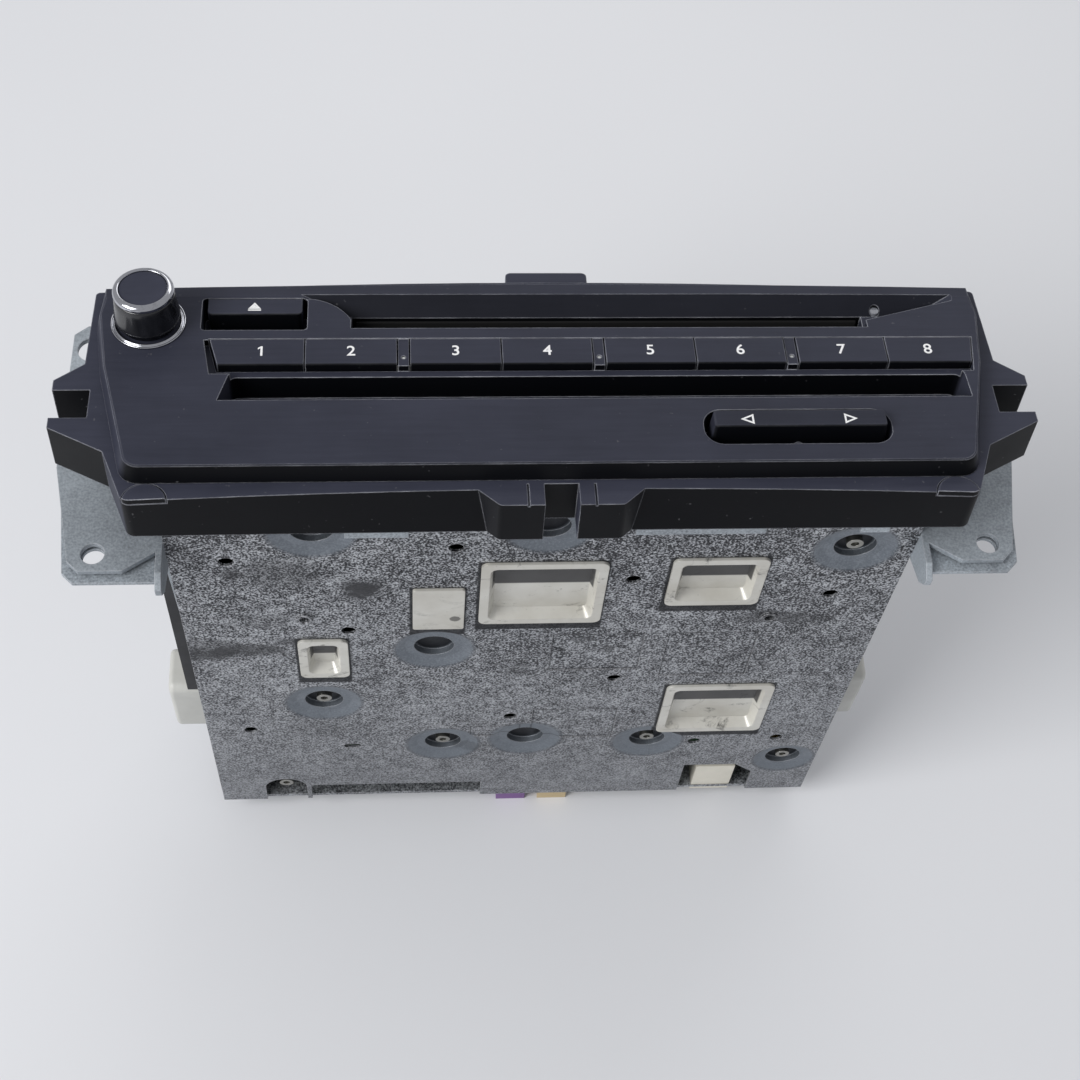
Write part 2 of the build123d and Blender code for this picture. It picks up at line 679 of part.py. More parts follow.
def corner_plugs():
    plug = plug_shape(PLUG_RADIUS, -PLUG_DEPTH, PLUG_PROUD)
    rim = plug.faces().sort_by(Axis.Z)[-1].edges().filter_by(GeomType.CIRCLE)
    plug = fillet(rim, PLUG_ROUND)
    outline = bezel_outline(FOOT_CROWN)
    within = Pos(0, 0, -PLUG_DEPTH) * extrude(outline, PLUG_DEPTH + PLUG_PROUD, dir=(0, 0, 1))
    return [FACE * ((Pos(side * PLUG_U, 0, 0) * plug) & within) for side in (-1, 1)]


def above(first, second, third):
    """The half space over the plane through three points."""
    normal = (Vector(second) - Vector(first)).cross(Vector(third) - Vector(first))
    if normal.Z < 0:
        normal = -normal
    reach = 4 * HEAD_WIDTH
    return Plane(origin=first, z_dir=normal).location * Pos(0, 0, reach / 2) * Box(reach, reach, reach)


# Raised panel
def funnel():
    """The sloping surface that leads a disc into the slot, as the solid to cut away."""
    top = PANEL_RISE
    low = PANEL_RISE - FUNNEL_DEPTH
    left = [(SLOT_LEFT - reach, v) for reach, v in FUNNEL_LEFT_EDGE]
    right = [(SLOT_RIGHT + reach, v) for reach, v in FUNNEL_RIGHT_EDGE]
    curve = ThreePointArc(*left[2:])
    outline = make_face(Polyline(*left[:3]) + curve + Polyline(left[-1], *right, left[0]))
    wedge = Pos(0, 0, low) * extrude(outline, FUNNEL_DEPTH + 1, dir=(0, 0, 1))
    slot_left = (SLOT_LEFT, SLOT_HEAD, low)
    slot_right = (SLOT_RIGHT, SLOT_HEAD, low)
    wedge &= above((*left[0], top), slot_left, slot_right)
    wedge &= above((*left[0], top), (*left[1], top), slot_left)
    end_u, end_v = right[-2]
    return wedge & above((*right[-1], top), (end_u, end_v, top), (end_u - FUNNEL_RISE, end_v, low))


def row_left_edges():
    """Left edges of the keys and of the pillars between the pairs."""
    keys = []
    pillars = []
    u = ROW_START
    for number in range(1, KEY_COUNT + 1):
        width = KEY_WIDTH - {1: FIRST_KEY_CUT, KEY_COUNT: LAST_KEY_CUT}.get(number, 0)
        keys.append((u, u + width))
        u += width + KEY_GAP
        if number % 2 == 0 and number < KEY_COUNT:
            pillars.append((u, u + PILLAR_WIDTH))
            u += PILLAR_WIDTH + KEY_GAP
    return keys, pillars


KEYS, PILLARS = row_left_edges()


def front_panel():
    steps = [Pos(0, 0, level) * panel_outline(inset, head_inset) for level, inset, head_inset in PANEL_FLANK]
    body = loft(steps, ruled=True)
    under = PANEL_RISE - PANEL_WALL
    over = PANEL_RISE + 1
    pocket_end = GROOVE_FLOOR - POCKET_WALL
    spigot = panel_outline(SPIGOT_INSET, SPIGOT_INSET)
    bounds = Pos(0, 0, pocket_end) * extrude(spigot, under - pocket_end, dir=(0, 0, 1))
    body += bounds & block(-HEAD_WIDTH, HEAD_WIDTH, 0, HEAD_WIDTH, -SPIGOT_DEPTH, under)
    inside = panel_outline(SPIGOT_INSET + SPIGOT_WALL, SPIGOT_INSET + SPIGOT_WALL)
    body -= Pos(0, 0, -SPIGOT_DEPTH) * extrude(inside, SPIGOT_DEPTH + under, dir=(0, 0, 1))

    groove = make_face(Polyline(
        (GROOVE_LEFT[0], GROOVE_V[0]),
        (GROOVE_RIGHT[0], GROOVE_V[0]),
        (GROOVE_RIGHT[1], GROOVE_V[1]),
        (GROOVE_LEFT[1], GROOVE_V[1]),
        close=True,
    ))
    groove = fillet(groove.vertices().group_by(Axis.Y)[-1], GROOVE_ROUND)
    body += bounds & block(
        GROOVE_LEFT[0] - POCKET_WALL,
        GROOVE_RIGHT[0] + POCKET_WALL,
        GROOVE_V[0] - POCKET_WALL,
        GROOVE_V[1] + POCKET_WALL,
        pocket_end,
        under,
    )
    # Ledge between the keys and the groove, lower than the panel; its right side runs on from the row's
    row_foot = KEY_V[0] - KEY_GAP
    row_top = KEY_V[1] + KEY_GAP
    row_head = KEY_V[1] + POCKET_WALL
    row_left = KEYS[0][0] - KEY_GAP
    row_right = KEYS[-1][1] + KEY_GAP
    lean = LAST_KEY_LEAN / (row_top - row_foot)
    ledge_foot = GROOVE_V[1] - POCKET_WALL / 2
    ledge = [
        (LEDGE_LEFT[1], ledge_foot),
        (row_right - lean * (row_foot - ledge_foot), ledge_foot),
        (row_right + lean * (KEY_V[1] - row_foot), KEY_V[1]),
        (LEDGE_LEFT[0], KEY_V[1]),
    ]
    body -= prism(ledge, LEDGE_LEVEL, over)
    ledge_right = row_right + LAST_KEY_LEAN + POCKET_WALL
    body += bounds & block(LEDGE_LEFT[0], ledge_right, GROOVE_V[1], row_head, LEDGE_BACK, LEDGE_LEVEL)
    body -= Pos(0, 0, GROOVE_FLOOR) * extrude(groove, over - GROOVE_FLOOR, dir=(0, 0, 1))
    row = [
        (row_left, row_foot),
        (row_right, row_foot),
        (row_right + LAST_KEY_LEAN, row_top),
        (row_left - FIRST_KEY_LEAN, row_top),
    ]
    body -= prism(row, pocket_end, over)
    for left, right in PILLARS:
        middle = (left + right) / 2
        top = PANEL_RISE - PILLAR_SINK
        pillar = block(left, right, row_foot - POCKET_WALL / 2, row_head, LEDGE_BACK, LEDGE_LEVEL)
        pillar += block(left, right, row_foot, row_head, LEDGE_LEVEL, top)
        body += pillar - rod(middle, GUIDE_V, 0, PANEL_RISE, GUIDE_RADIUS + RUNNING_FIT)

    # Eject recess
    u0, u1, v0, v1 = EJECT_RECESS
    wall = POCKET_WALL
    body += block(u0 - wall, u1 + wall, v0 - wall, v1 + wall, EJECT_FLOOR - wall, under)
    body -= rounded(u0, u1, v0, v1, EJECT_FLOOR, over, EJECT_CORNER)
    stem_u = sum(EJECT_U) / 2
    stem_v = sum(EJECT_V) / 2
    half_u = EJECT_STEM[0] + KEY_GAP
    half_v = EJECT_STEM[1] + KEY_GAP
    body -= block(stem_u - half_u, stem_u + half_u, stem_v - half_v, stem_v + half_v, pocket_end, EJECT_FLOOR)

    # Rocker recess with the two bores of its pivot
    u0, u1, v0, v1 = ROCKER_RECESS
    radius = ROCKER_RECESS_RADIUS
    body += rounded(u0 - wall, u1 + wall, v0 - wall, v1 + wall, ROCKER_FLOOR - wall, under, radius)
    body -= rounded(u0, u1, v0, v1, ROCKER_FLOOR, over, radius)
    pivot_u = sum(ROCKER_U) / 2
    bore = Cylinder(ROCKER_PIN_RADIUS + RUNNING_FIT, v1 - v0 + 2 * wall, rotation=(90, 0, 0))
    body -= Pos(pivot_u, (v0 + v1) / 2, ROCKER_PIVOT_W) * bore

    # Disc slot, its funnel and its tunnel walls
    left, right = SLOT_LEFT, SLOT_RIGHT
    shelf_left, shelf_right = left - FUNNEL_SHELF[0], right + FUNNEL_SHELF[1]
    body += bounds & block(shelf_left, shelf_right, SLOT_FOOT - wall, FUNNEL_HEAD, -SPIGOT_DEPTH, under)
    body -= funnel()
    body -= block(left, right, SLOT_FOOT, SLOT_HEAD, -SPIGOT_DEPTH, over)
    body -= rod(LENS_U, LENS_V, LENS_SEAT, over, LENS_RADIUS + RUNNING_FIT)
    body -= rod(LENS_U, LENS_V, -SPIGOT_DEPTH, LENS_SEAT, LENS_RADIUS + LENS_FLANGE + RUNNING_FIT)
    body -= rod(KNOB_U, KNOB_V, -SPIGOT_DEPTH, over, ENCODER_OPENING)
    return FACE * body


def slot_felt_strips():
    left, right = SLOT_LEFT, SLOT_RIGHT
    strips = []
    for foot in (SLOT_FOOT, SLOT_HEAD - FELT_THICKNESS):
        strip = block(left + FELT_INSET, right - FELT_INSET, foot, foot + FELT_THICKNESS, FELT_START, 0)
        strips.append(FACE * strip)
    return strips


def status_lens():
    lens = rod(LENS_U, LENS_V, LENS_SEAT, LENS_TOP, LENS_RADIUS)
    flange = rod(LENS_U, LENS_V, LENS_END, LENS_SEAT, LENS_RADIUS + LENS_FLANGE)
    return FACE * (lens + flange)


def key_light_guides():
    start = KEY_BOARD_FRONT + MAT_THICKNESS
    end = PANEL_RISE - GUIDE_SINK
    return [FACE * rod((left + right) / 2, GUIDE_V, start, end, GUIDE_RADIUS) for left, right in PILLARS]


# Keys and buttons
def preset_button(number):
    left, right = KEYS[number - 1]
    left_lean = FIRST_KEY_LEAN if number == 1 else 0
    right_lean = LAST_KEY_LEAN if number == KEY_COUNT else 0
    outline = [
        (left, KEY_V[0]),
        (right, KEY_V[0]),
        (right + right_lean, KEY_V[1]),
        (left - left_lean, KEY_V[1]),
    ]
    key = prism(outline, KEY_BACK, KEY_TOP)
    key = fillet(key.faces().sort_by(Axis.Z)[-1].edges().sort_by(Axis.Y)[0], KEY_RIDGE_ROUND)
    wall = KEY_WALL
    under = KEY_TOP - KEY_ROOF
    key -= block(left + wall, right - wall, KEY_V[0] + wall, KEY_V[1] - wall, KEY_BACK, under)
    middle = (left + right) / 2
    key_v = sum(KEY_V) / 2
    half_u, half_v = KEY_STEM
    key += block(middle - half_u, middle + half_u, key_v - half_v, key_v + half_v, KEY_STEM_END, under)
    return FACE * key


def eject_button():
    u0, u1 = EJECT_U
    v0, v1 = EJECT_V
    back = EJECT_FLOOR + EJECT_TRAVEL + EJECT_FLOOR_GAP
    key = block(u0, u1, v0, v1, back, KEY_TOP)
    key = fillet(key.edges().filter_by(Axis.Z).group_by(Axis.Y)[0], EJECT_ROUND)
    key = fillet(key.faces().sort_by(Axis.Z)[-1].edges(), KEY_EDGE_ROUND)
    middle = (u0 + u1) / 2
    key_v = (v0 + v1) / 2
    half_u, half_v = EJECT_STEM
    stem_end = EJECT_DOME_TOP + DOME_GAP + EJECT_TRAVEL
    key += block(middle - half_u, middle + half_u, key_v - half_v, key_v + half_v, stem_end, back)
    return FACE * key


def seek_rocker():
    u0, u1 = ROCKER_U
    v0, v1 = ROCKER_V
    foot = Rectangle(u1 - u0 + 2 * ROCKER_FLARE, v1 - v0 + 2 * ROCKER_FLARE)
    bar = extrude(foot, ROCKER_TOP - ROCKER_BASE, dir=(0, 0, 1), taper=ROCKER_DRAFT)
    bar = Pos((u0 + u1) / 2, (v0 + v1) / 2, ROCKER_BASE) * bar
    upright = bar.edges().filter_by(Axis.X, reverse=True).filter_by(Axis.Y, reverse=True)
    bar = fillet(upright, ROCKER_SIDE_ROUND)
    bar = fillet(bar.faces().sort_by(Axis.Z)[-1].edges(), ROCKER_EDGE_ROUND)
    r0, r1 = ROCKER_RECESS[2:]
    pin = Cylinder(ROCKER_PIN_RADIUS, r1 - r0 + POCKET_WALL, rotation=(90, 0, 0))
    bar += Pos((u0 + u1) / 2, (r0 + r1) / 2, ROCKER_PIVOT_W) * pin
    return FACE * bar


# Volume knob
def volume_knob():
    chrome_foot = KNOB_CROWN - CHROME_HEIGHT
    roof = chrome_foot - KNOB_ROOF
    skirt = taper(0, 0, KNOB_START, chrome_foot, KNOB_FOOT_RADIUS, KNOB_HEAD_RADIUS)
    skirt += rod(0, 0, chrome_foot, KNOB_CROWN - KNOB_CAP_DEPTH, KNOB_CAP_RADIUS)
    skirt -= rod(0, 0, KNOB_START, roof, KNOB_HEAD_RADIUS - KNOB_WALL)
    skirt += rod(0, 0, KNOB_START + KNOB_BUSH_START, roof, SHAFT_RADIUS + ENCODER_BUSH_WALL)
    skirt -= rod(0, 0, KNOB_START, KNOB_CROWN - KNOB_SOCKET_SINK, SHAFT_RADIUS + RUNNING_FIT)
    return KNOB * skirt


def knob_chrome_ring():
    foot = KNOB_CROWN - CHROME_HEIGHT
    ring = tube(0, 0, foot, KNOB_CROWN, KNOB_HEAD_RADIUS + CHROME_OVERHANG, KNOB_CAP_RADIUS)
    crown_edges = ring.edges().filter_by(GeomType.CIRCLE).sort_by(Axis.Z)[-2:]
    ring = fillet(crown_edges.sort_by(SortBy.RADIUS)[-1], CHROME_ROUND)
    return KNOB * ring


def knob_cap():
    top = KNOB_CROWN - KNOB_CAP_SINK
    cap = rod(0, 0, KNOB_CROWN - KNOB_CAP_DEPTH, top, KNOB_CAP_RADIUS)
    cap -= taper(0, 0, top - KNOB_DISH_DEPTH, top, KNOB_DISH[0], KNOB_DISH[1])
    return KNOB * cap


def knob_base_ring():
    inner = KNOB_FOOT_RADIUS + BASE_RING_GAP
    top = PANEL_RISE + BASE_RING_HEIGHT
    ring = tube(0, 0, PANEL_RISE, top, BASE_RING_RADIUS, inner)
    ring -= tube(0, 0, top - BASE_RING_STEP, top, BASE_RING_RADIUS - BASE_RING_STEP, inner)
    return KNOB * ring


def volume_encoder():
    half = ENCODER_HALF
    case = block(-half, half, -half, half, KEY_BOARD_FRONT, ENCODER_CASE_TOP)
    bush = rod(0, 0, ENCODER_CASE_TOP, ENCODER_BUSH_TOP, SHAFT_RADIUS + ENCODER_BUSH_WALL)
    bore = rod(0, 0, ENCODER_BORE_START, ENCODER_BUSH_TOP, SHAFT_RADIUS + RUNNING_FIT)
    room = rod(0, 0, ROTOR_START - FIT_GAP, ROTOR_END + FIT_GAP, ROTOR_RADIUS + RUNNING_FIT)
    return KNOB * (case + bush - bore - room)


def encoder_rotor():
    return KNOB * tube(0, 0, ROTOR_START, ROTOR_END, ROTOR_RADIUS, SHAFT_RADIUS + RUNNING_FIT)


def encoder_shaft():
    end = KNOB_CROWN - KNOB_SOCKET_SINK - KNOB_PUSH - SHAFT_HEAD_GAP
    return KNOB * rod(0, 0, SHAFT_START, end, SHAFT_RADIUS)


# Boards behind the face
def key_board():
    back = KEY_BOARD_FRONT - BOARD_THICKNESS
    outline = [
        (-BOARD_FOOT_U, BOARD_FOOT),
        (BOARD_FOOT_U, BOARD_FOOT),
        BOARD_SIDE,
        (BOARD_HEAD_U, BOARD_HEAD),
        (BOARD_WING, BOARD_HEAD),
        (BOARD_WING, BOARD_WING_HEAD),
        (-BOARD_WING_U, BOARD_WING_HEAD),
        (-BOARD_SIDE[0], BOARD_SIDE[1]),
    ]
    board = prism(outline, back, KEY_BOARD_FRONT)
    for u0, u1, v0, v1, depth in KEY_BOARD_PARTS:
        board += block(u0, u1, v0, v1, back - depth, back)
    return FACE * board


def key_mat():
    top = KEY_BOARD_FRONT + MAT_THICKNESS
    mat = block(KEYS[0][0], KEYS[-1][1] - MAT_END_INSET, KEY_V[0], BOARD_HEAD, KEY_BOARD_FRONT, top)
    mat += block(EJECT_U[0], EJECT_U[1], KEY_V[1], EJECT_V[1], KEY_BOARD_FRONT, top)
    key_v = sum(KEY_V) / 2
    dome_top = KEY_STEM_END - KEY_TRAVEL - DOME_GAP
    for left, right in KEYS:
        mat += taper((left + right) / 2, key_v, top, dome_top, DOME_RADIUS, DOME_HEAD_RADIUS)
    mat += taper(sum(EJECT_U) / 2, sum(EJECT_V) / 2, top, EJECT_DOME_TOP, DOME_RADIUS, DOME_HEAD_RADIUS)
    for left, right in PILLARS:
        mat -= rod((left + right) / 2, GUIDE_V, KEY_BOARD_FRONT, top, GUIDE_RADIUS)
    return FACE * mat


# Bottom cover
def dimples():
    """Place and bowl radius of each dimple; the one beside the edge is smaller."""
    full = [(x, z, DIMPLE_RADIUS) for x, z in SCREWED_DIMPLES + EMPTY_DIMPLES + [COLLAR_SCREW]]
    return full + [(SIDE_DIMPLE[0], SIDE_DIMPLE[1], SIDE - SIDE_DIMPLE[0] - 0.4)]


def dimple_body(x, z, radius):
    floor = radius - DIMPLE_RADIUS + DIMPLE_FLOOR_RADIUS
    bowl = taper(x, z, -DIMPLE_DEPTH - SHEET, 0, floor + SHEET, radius + SHEET)
    return bowl + rod(x, z, -CUP_FLOOR, 0, CUP_RADIUS + SHEET)


def dimple_cut(x, z, radius):
    floor = radius - DIMPLE_RADIUS + DIMPLE_FLOOR_RADIUS
    bowl = taper(x, z, -DIMPLE_DEPTH, 0, floor, radius)
    return bowl + rod(x, z, -CUP_DEPTH, 0, CUP_RADIUS)


def bottom_cover():
    plate = block(-SIDE, SIDE, 0, COVER_FRONT, -SHEET, 0)
    lip = SIDE - SHEET - FIT_GAP
    for side in (-1, 1):
        edges = sorted((side * lip, side * (lip - SHEET)))
        plate += block(edges[0], edges[1], LIP_START, LIP_END, -COVER_LIP, -SHEET)
    between = block(-lip, lip, 0, COVER_FRONT, -COVER_LIP, 0)
    for x, z, radius in dimples():
        plate += dimple_body(x, z, radius) & between
    for x, z in DRAWN_COLLARS:
        plate += rod(x, z, 0, DRAWN_COLLAR_HEIGHT, DRAWN_COLLAR_RADIUS)
    for x, z, radius in dimples():
        plate -= dimple_cut(x, z, radius)
    for x, z in SCREWED_DIMPLES + [SIDE_DIMPLE, COLLAR_SCREW]:
        plate -= rod(x, z, -CUP_FLOOR, -CUP_DEPTH, SCREW_RADIUS + RUNNING_FIT)
    for x, z in SMALL_HOLES:
        plate -= rod(x, z, -SHEET, 0, SMALL_HOLE_RADIUS)
    for x, z in DRAWN_COLLARS:
        plate -= rod(x, z, -SHEET, DRAWN_COLLAR_HEIGHT, DRAWN_COLLAR_BORE)
    for x0, x1, z0, z1 in (LARGE_TRAY, UPPER_TRAY, LOWER_TRAY, SMALL_TRAY):
        edge = TRAY_RIM
        plate -= rounded(x0 + edge, x1 - edge, z0 + edge, z1 - edge, -SHEET, 0, PAN_CORNER)
    for x0, x1, z0, z1 in EMBOSSINGS:
        plate -= block(x0, x1, z0, z1, -EMBOSS_DEPTH, 0)
    x0, x1, z0, z1 = SMALL_SLOT
    plate -= rounded(x0, x1, z0, z1, -SHEET, 0, SMALL_SLOT_CORNER)
    # Rear edge
    x, z = EDGE_SCREW
    plate -= rod(x, z, -SHEET, 0, EDGE_SCREW_OPENING)
    plate -= block(x - EDGE_SCREW_OPENING, x + EDGE_SCREW_OPENING, 0, z, -SHEET, 0)
    x0, x1, z1 = REAR_RECESS
    plate -= block(x0, x1, 0, z1, -SHEET, 0)
    x0, x1, z1 = REAR_NOTCH
    flare = REAR_NOTCH_FLARE
    plate -= prism([(x0, 0), (x1 + flare, 0), (x1 + flare, z1 - flare), (x1, z1), (x0, z1)], -SHEET, 0)
    return COVER * plate


def tray(limits):
    x0, x1, z0, z1 = limits
    rim = rounded(x0, x1, z0, z1, 0, TRAY_PROUD, TRAY_CORNER)
    edge = TRAY_RIM + FIT_GAP
    floor = TRAY_PROUD - TRAY_DEPTH
    pan = rounded(x0 + edge, x1 - edge, z0 + edge, z1 - edge, floor - TRAY_FLOOR, 0, PAN_CORNER)
    width = x1 - x0 - 2 * TRAY_INSET
    length = z1 - z0 - 2 * TRAY_INSET
    ends = [
        Pos(0, 0, floor) * RectangleRounded(width - 2 * TRAY_SLOPE, length - 2 * TRAY_SLOPE, PAN_CORNER),
        Pos(0, 0, TRAY_PROUD) * RectangleRounded(width, length, TRAY_CORNER),
    ]
    pocket = Pos((x0 + x1) / 2, (z0 + z1) / 2, 0) * loft(ends, ruled=True)
    return COVER * (rim + pan - pocket)


def cover_patch():
    x0, x1, z0, z1 = PATCH
    return COVER * rounded(x0, x1, z0, z1, 0, TRAY_PROUD, PATCH_CORNER)


def case_screw():
    """A screw along the third axis, with its head's underside at the origin."""
    screw = rod(0, 0, 0, SCREW_HEAD_HEIGHT, SCREW_HEAD_RADIUS) + rod(0, 0, -SCREW_LENGTH, 0, SCREW_RADIUS)
    return screw - rod(0, 0, SCREW_HEAD_HEIGHT - SOCKET_DEPTH, SCREW_HEAD_HEIGHT, SCREW_SOCKET_RADIUS)


def case_screws():
    screw = case_screw()
    places = SCREWED_DIMPLES + [SIDE_DIMPLE, COLLAR_SCREW, EDGE_SCREW]
    screws = [COVER * Pos(x, z, -CUP_DEPTH) * screw for x, z in places]
    face = SIDE + FLANGE_SHEET
    for z in BRACKET_SCREW_Z:
        screws.append(SIDEWAYS * Pos(BRACKET_SCREW_Y, z, face) * screw)
        screws.append(SIDEWAYS * Pos(BRACKET_SCREW_Y, z, -face) * Rot(180, 0, 0) * screw)
    return screws


def board_pillars():
    pillars = []
    for x, z in SCREWED_DIMPLES + [SIDE_DIMPLE, EDGE_SCREW]:
        start = -CUP_DEPTH if (x, z) == EDGE_SCREW else -CUP_FLOOR
        outer = extrude(RegularPolygon(PILLAR_RADIUS, 6), MAIN_BOARD_LEVEL + start)
        bore = rod(0, 0, 0, MAIN_BOARD_LEVEL + start, SCREW_RADIUS + RUNNING_FIT)
        pillars.append(COVER * Pos(x, z, -MAIN_BOARD_LEVEL) * (outer - bore))
    return pillars


# Case
def chassis_frame():
    frame = block(-SIDE, SIDE, WALL_FOOT, WALL_HEAD, 0, REAR_SHEET)
    for side in (-1, 1):
        edges = sorted((side * SIDE, side * (SIDE - SHEET)))
        wall = block(edges[0], edges[1], WALL_FOOT, WALL_HEAD, 0, PLATE_BACK)
        for z in BRACKET_SCREW_Z:
            hole = rod(BRACKET_SCREW_Y, z, -SIDE, SIDE, SCREW_RADIUS + RUNNING_FIT)
            wall -= SIDEWAYS * hole
        frame += wall
    inside = SIDE - SHEET
    for z0, z1 in mount_bars():
        frame += block(-inside, inside, BAR_LEVEL, BAR_LEVEL + BAR_SHEET, z0, z1)
    for x0, x1, y0, y1 in (MAIN_SOCKET, VIOLET_HOUSING, BEIGE_HOUSING, ACCESSORY_HOUSING):
        frame -= block(x0 - FIT_GAP, x1 + FIT_GAP, y0 - FIT_GAP, y1 + FIT_GAP, 0, REAR_SHEET)
    return frame


def mount_bars():
    half = MOUNT_RADIUS + MOUNT_MARGIN
    return [(z - half, z + half) for z in MOUNT_Z]


def top_cover():
    plate = block(-SIDE, SIDE, BODY_HEIGHT - SHEET, BODY_HEIGHT, 0, PLATE_BACK)
    lip = SIDE - SHEET - FIT_GAP
    for side in (-1, 1):
        edges = sorted((side * lip, side * (lip - SHEET)))
        plate += block(edges[0], edges[1], BODY_HEIGHT - COVER_LIP, BODY_HEIGHT - SHEET, LIP_START, LIP_END)
    half = STAMPING_WIDTH / 2
    for x in STAMPING_X:
        start, end = STAMPING_Z
        plate -= block(x - half, x + half, BODY_HEIGHT - EMBOSS_DEPTH, BODY_HEIGHT, start, end)
    half = VENT_LENGTH / 2
    for index in range(VENTS):
        z = VENT_START + index * VENT_PITCH
        for x in (-VENT_X, VENT_X):
            plate -= block(x - half, x + half, BODY_HEIGHT - SHEET, BODY_HEIGHT, z, z + VENT_WIDTH)
    return plate


def plate_ears(side):
    """Second layer behind a flange."""
    inner = SIDE + FLANGE_SHEET + FIT_GAP
    points = [
        (inner, -PLATE_FOOT),
        (EAR_FOOT_X, -PLATE_FOOT),
        (EAR_FOOT_X + FLANGE_CORNER, FLANGE_CORNER - PLATE_FOOT),
        (EAR_BELLY_X, FLANGE_BELLY_Y),
        (EAR_HEAD_X, EAR_HEAD),
        (inner, EAR_HEAD),
    ]
    return prism([(side * x, y) for x, y in points], PLATE_BACK, PLATE_FRONT)


def front_plate():
    inner = COLLAR_HALF - COLLAR_WALL
    foot = CUP_FLOOR + FIT_GAP
    plate = block(-SIDE, SIDE, foot, BODY_HEIGHT, PLATE_BACK, PLATE_FRONT)
    reach = SIDE + FLANGE_SHEET + FIT_GAP
    plate += block(-reach, reach, ARM_TOP + FIT_GAP, EAR_HEAD, PLATE_BACK, PLATE_FRONT)
    window_foot = COLLAR_FOOT + COLLAR_WALL
    plate -= block(-inner, inner, window_foot, COLLAR_HEAD - COLLAR_WALL, PLATE_BACK, PLATE_FRONT)
    for side in (-1, 1):
        ear = plate_ears(side)
        ear -= rod(side * FLANGE_HOLE_X, FLANGE_HOLE_Y, PLATE_BACK, PLATE_FRONT, FLANGE_HOLE_RADIUS)
        plate += ear
    thick = PLATE_SHEET
    for x0, x1 in HOOKS:
        inner_leg = block(x0, x1, foot, foot + thick, PLATE_BACK, COVER_FRONT + FIT_GAP + thick)
        link = block(x0, x1, -FIT_GAP - thick, foot, COVER_FRONT + FIT_GAP, COVER_FRONT + FIT_GAP + thick)
        outer_leg = block(x0, x1, -FIT_GAP - thick, -FIT_GAP, COVER_FRONT - HOOK_REACH, COVER_FRONT + FIT_GAP)
        plate += inner_leg + link + outer_leg
    return plate


def bracket(side):
    points = [
        (SIDE, FLANGE_INNER_FOOT),
        (FLANGE_FOOT_X, -FLANGE_FOOT),
        (FLANGE_TOE_X, -FLANGE_FOOT),
        (FLANGE_TOE_X + FLANGE_CORNER, FLANGE_CORNER - FLANGE_FOOT),
        (FLANGE_REACH, FLANGE_BELLY_Y),
        (FLANGE_SHOULDER_X, FLANGE_TOP - FLANGE_CORNER),
        (FLANGE_HEAD_X, FLANGE_TOP),
        (SIDE, FLANGE_TOP),
    ]
    flange = prism([(side * x, y) for x, y in points], FLANGE_BACK, BODY_DEPTH)
    inner, outer = sorted((side * SIDE, side * (SIDE + FLANGE_SHEET)))
    arm = SIDEWAYS * prism([(y, BODY_DEPTH - back) for y, back in ARM_OUTLINE], inner, outer)
    part = flange + arm
    part -= rod(side * FLANGE_HOLE_X, FLANGE_HOLE_Y, FLANGE_BACK, BODY_DEPTH, FLANGE_HOLE_RADIUS)
    slot_x = side * FLANGE_HOLE_X
    slot = extrude(SlotOverall(FLANGE_SLOT_LENGTH, 2 * FLANGE_SLOT_RADIUS), FLANGE_SHEET, dir=(0, 0, 1))
    part -= Pos(slot_x, FLANGE_SLOT_Y, FLANGE_BACK) * slot
    for z in BRACKET_SCREW_Z:
        part -= SIDEWAYS * rod(BRACKET_SCREW_Y, z, inner, outer, SCREW_RADIUS + FIT_GAP)
    return part


def side_rail(side):
    y0, y1 = RAIL_Y
    over_arm = sorted((side * (SIDE + FLANGE_SHEET), side * RAIL_REACH))
    on_wall = sorted((side * SIDE, side * (SIDE + FLANGE_SHEET)))
    rail = rounded(y0, y1, RAIL_START, PLATE_BACK - FIT_GAP, over_arm[0], over_arm[1], RAIL_CORNER)
    rail += rounded(y0, y1, RAIL_START, ARM_END - FIT_GAP, on_wall[0], on_wall[1], RAIL_FOOT_CORNER)
    groove = sorted((side * (RAIL_REACH - RAIL_GROOVE), side * RAIL_REACH))
    edge = RAIL_EDGE
    end = PLATE_BACK - FIT_GAP - edge
    rail -= rounded(y0 + edge, y1 - edge, RAIL_START + edge, end, groove[0], groove[1], RAIL_CORNER)
    return SIDEWAYS * rail


def glide_blocks():
    glides = []
    for side in (-1, 1):
        limits = sorted((side * SIDE, side * GLIDE_REACH))
        body = rounded(GLIDE_Y[0], GLIDE_Y[1], GLIDE_Z[0], GLIDE_Z[1], limits[0], limits[1], GLIDE_CORNER)
        crown = body.faces().sort_by(Axis.Z)[-1 if side > 0 else 0].edges()
        body = fillet(crown, GLIDE_ROUND)
        glides.append(SIDEWAYS * body)
    return glides


# Rear connectors
def main_connector():
    wall = SOCKET_WALL
    floor = SOCKET_END - wall
    x0, x1, y0, y1 = MAIN_SOCKET
    middle = (y0 + y1) / 2
    rib = SOCKET_RIB / 2
    shell = block(x0, x1, y0, y1, -REAR_PROUD, SOCKET_END)
    shell -= block(x0 + wall, x1 - wall, y0 + wall, y1 - wall, -REAR_PROUD, floor)
    shell += block(x0 + wall, x1 - wall, middle - rib, middle + rib, -REAR_PROUD, floor)
    for x, y in pin_places():
        shell -= rod(x, y, floor, SOCKET_END, PIN_RADIUS + RUNNING_FIT)
    return shell


def pin_places():
    x0, x1, y0, y1 = MAIN_SOCKET
    rows = (y0 + PIN_ROW_INSET, y1 - PIN_ROW_INSET)
    pitch = (x1 - x0 - 2 * PIN_END_INSET) / (PIN_COUNT - 1)
    return [(x0 + PIN_END_INSET + index * pitch, y) for y in rows for index in range(PIN_COUNT)]


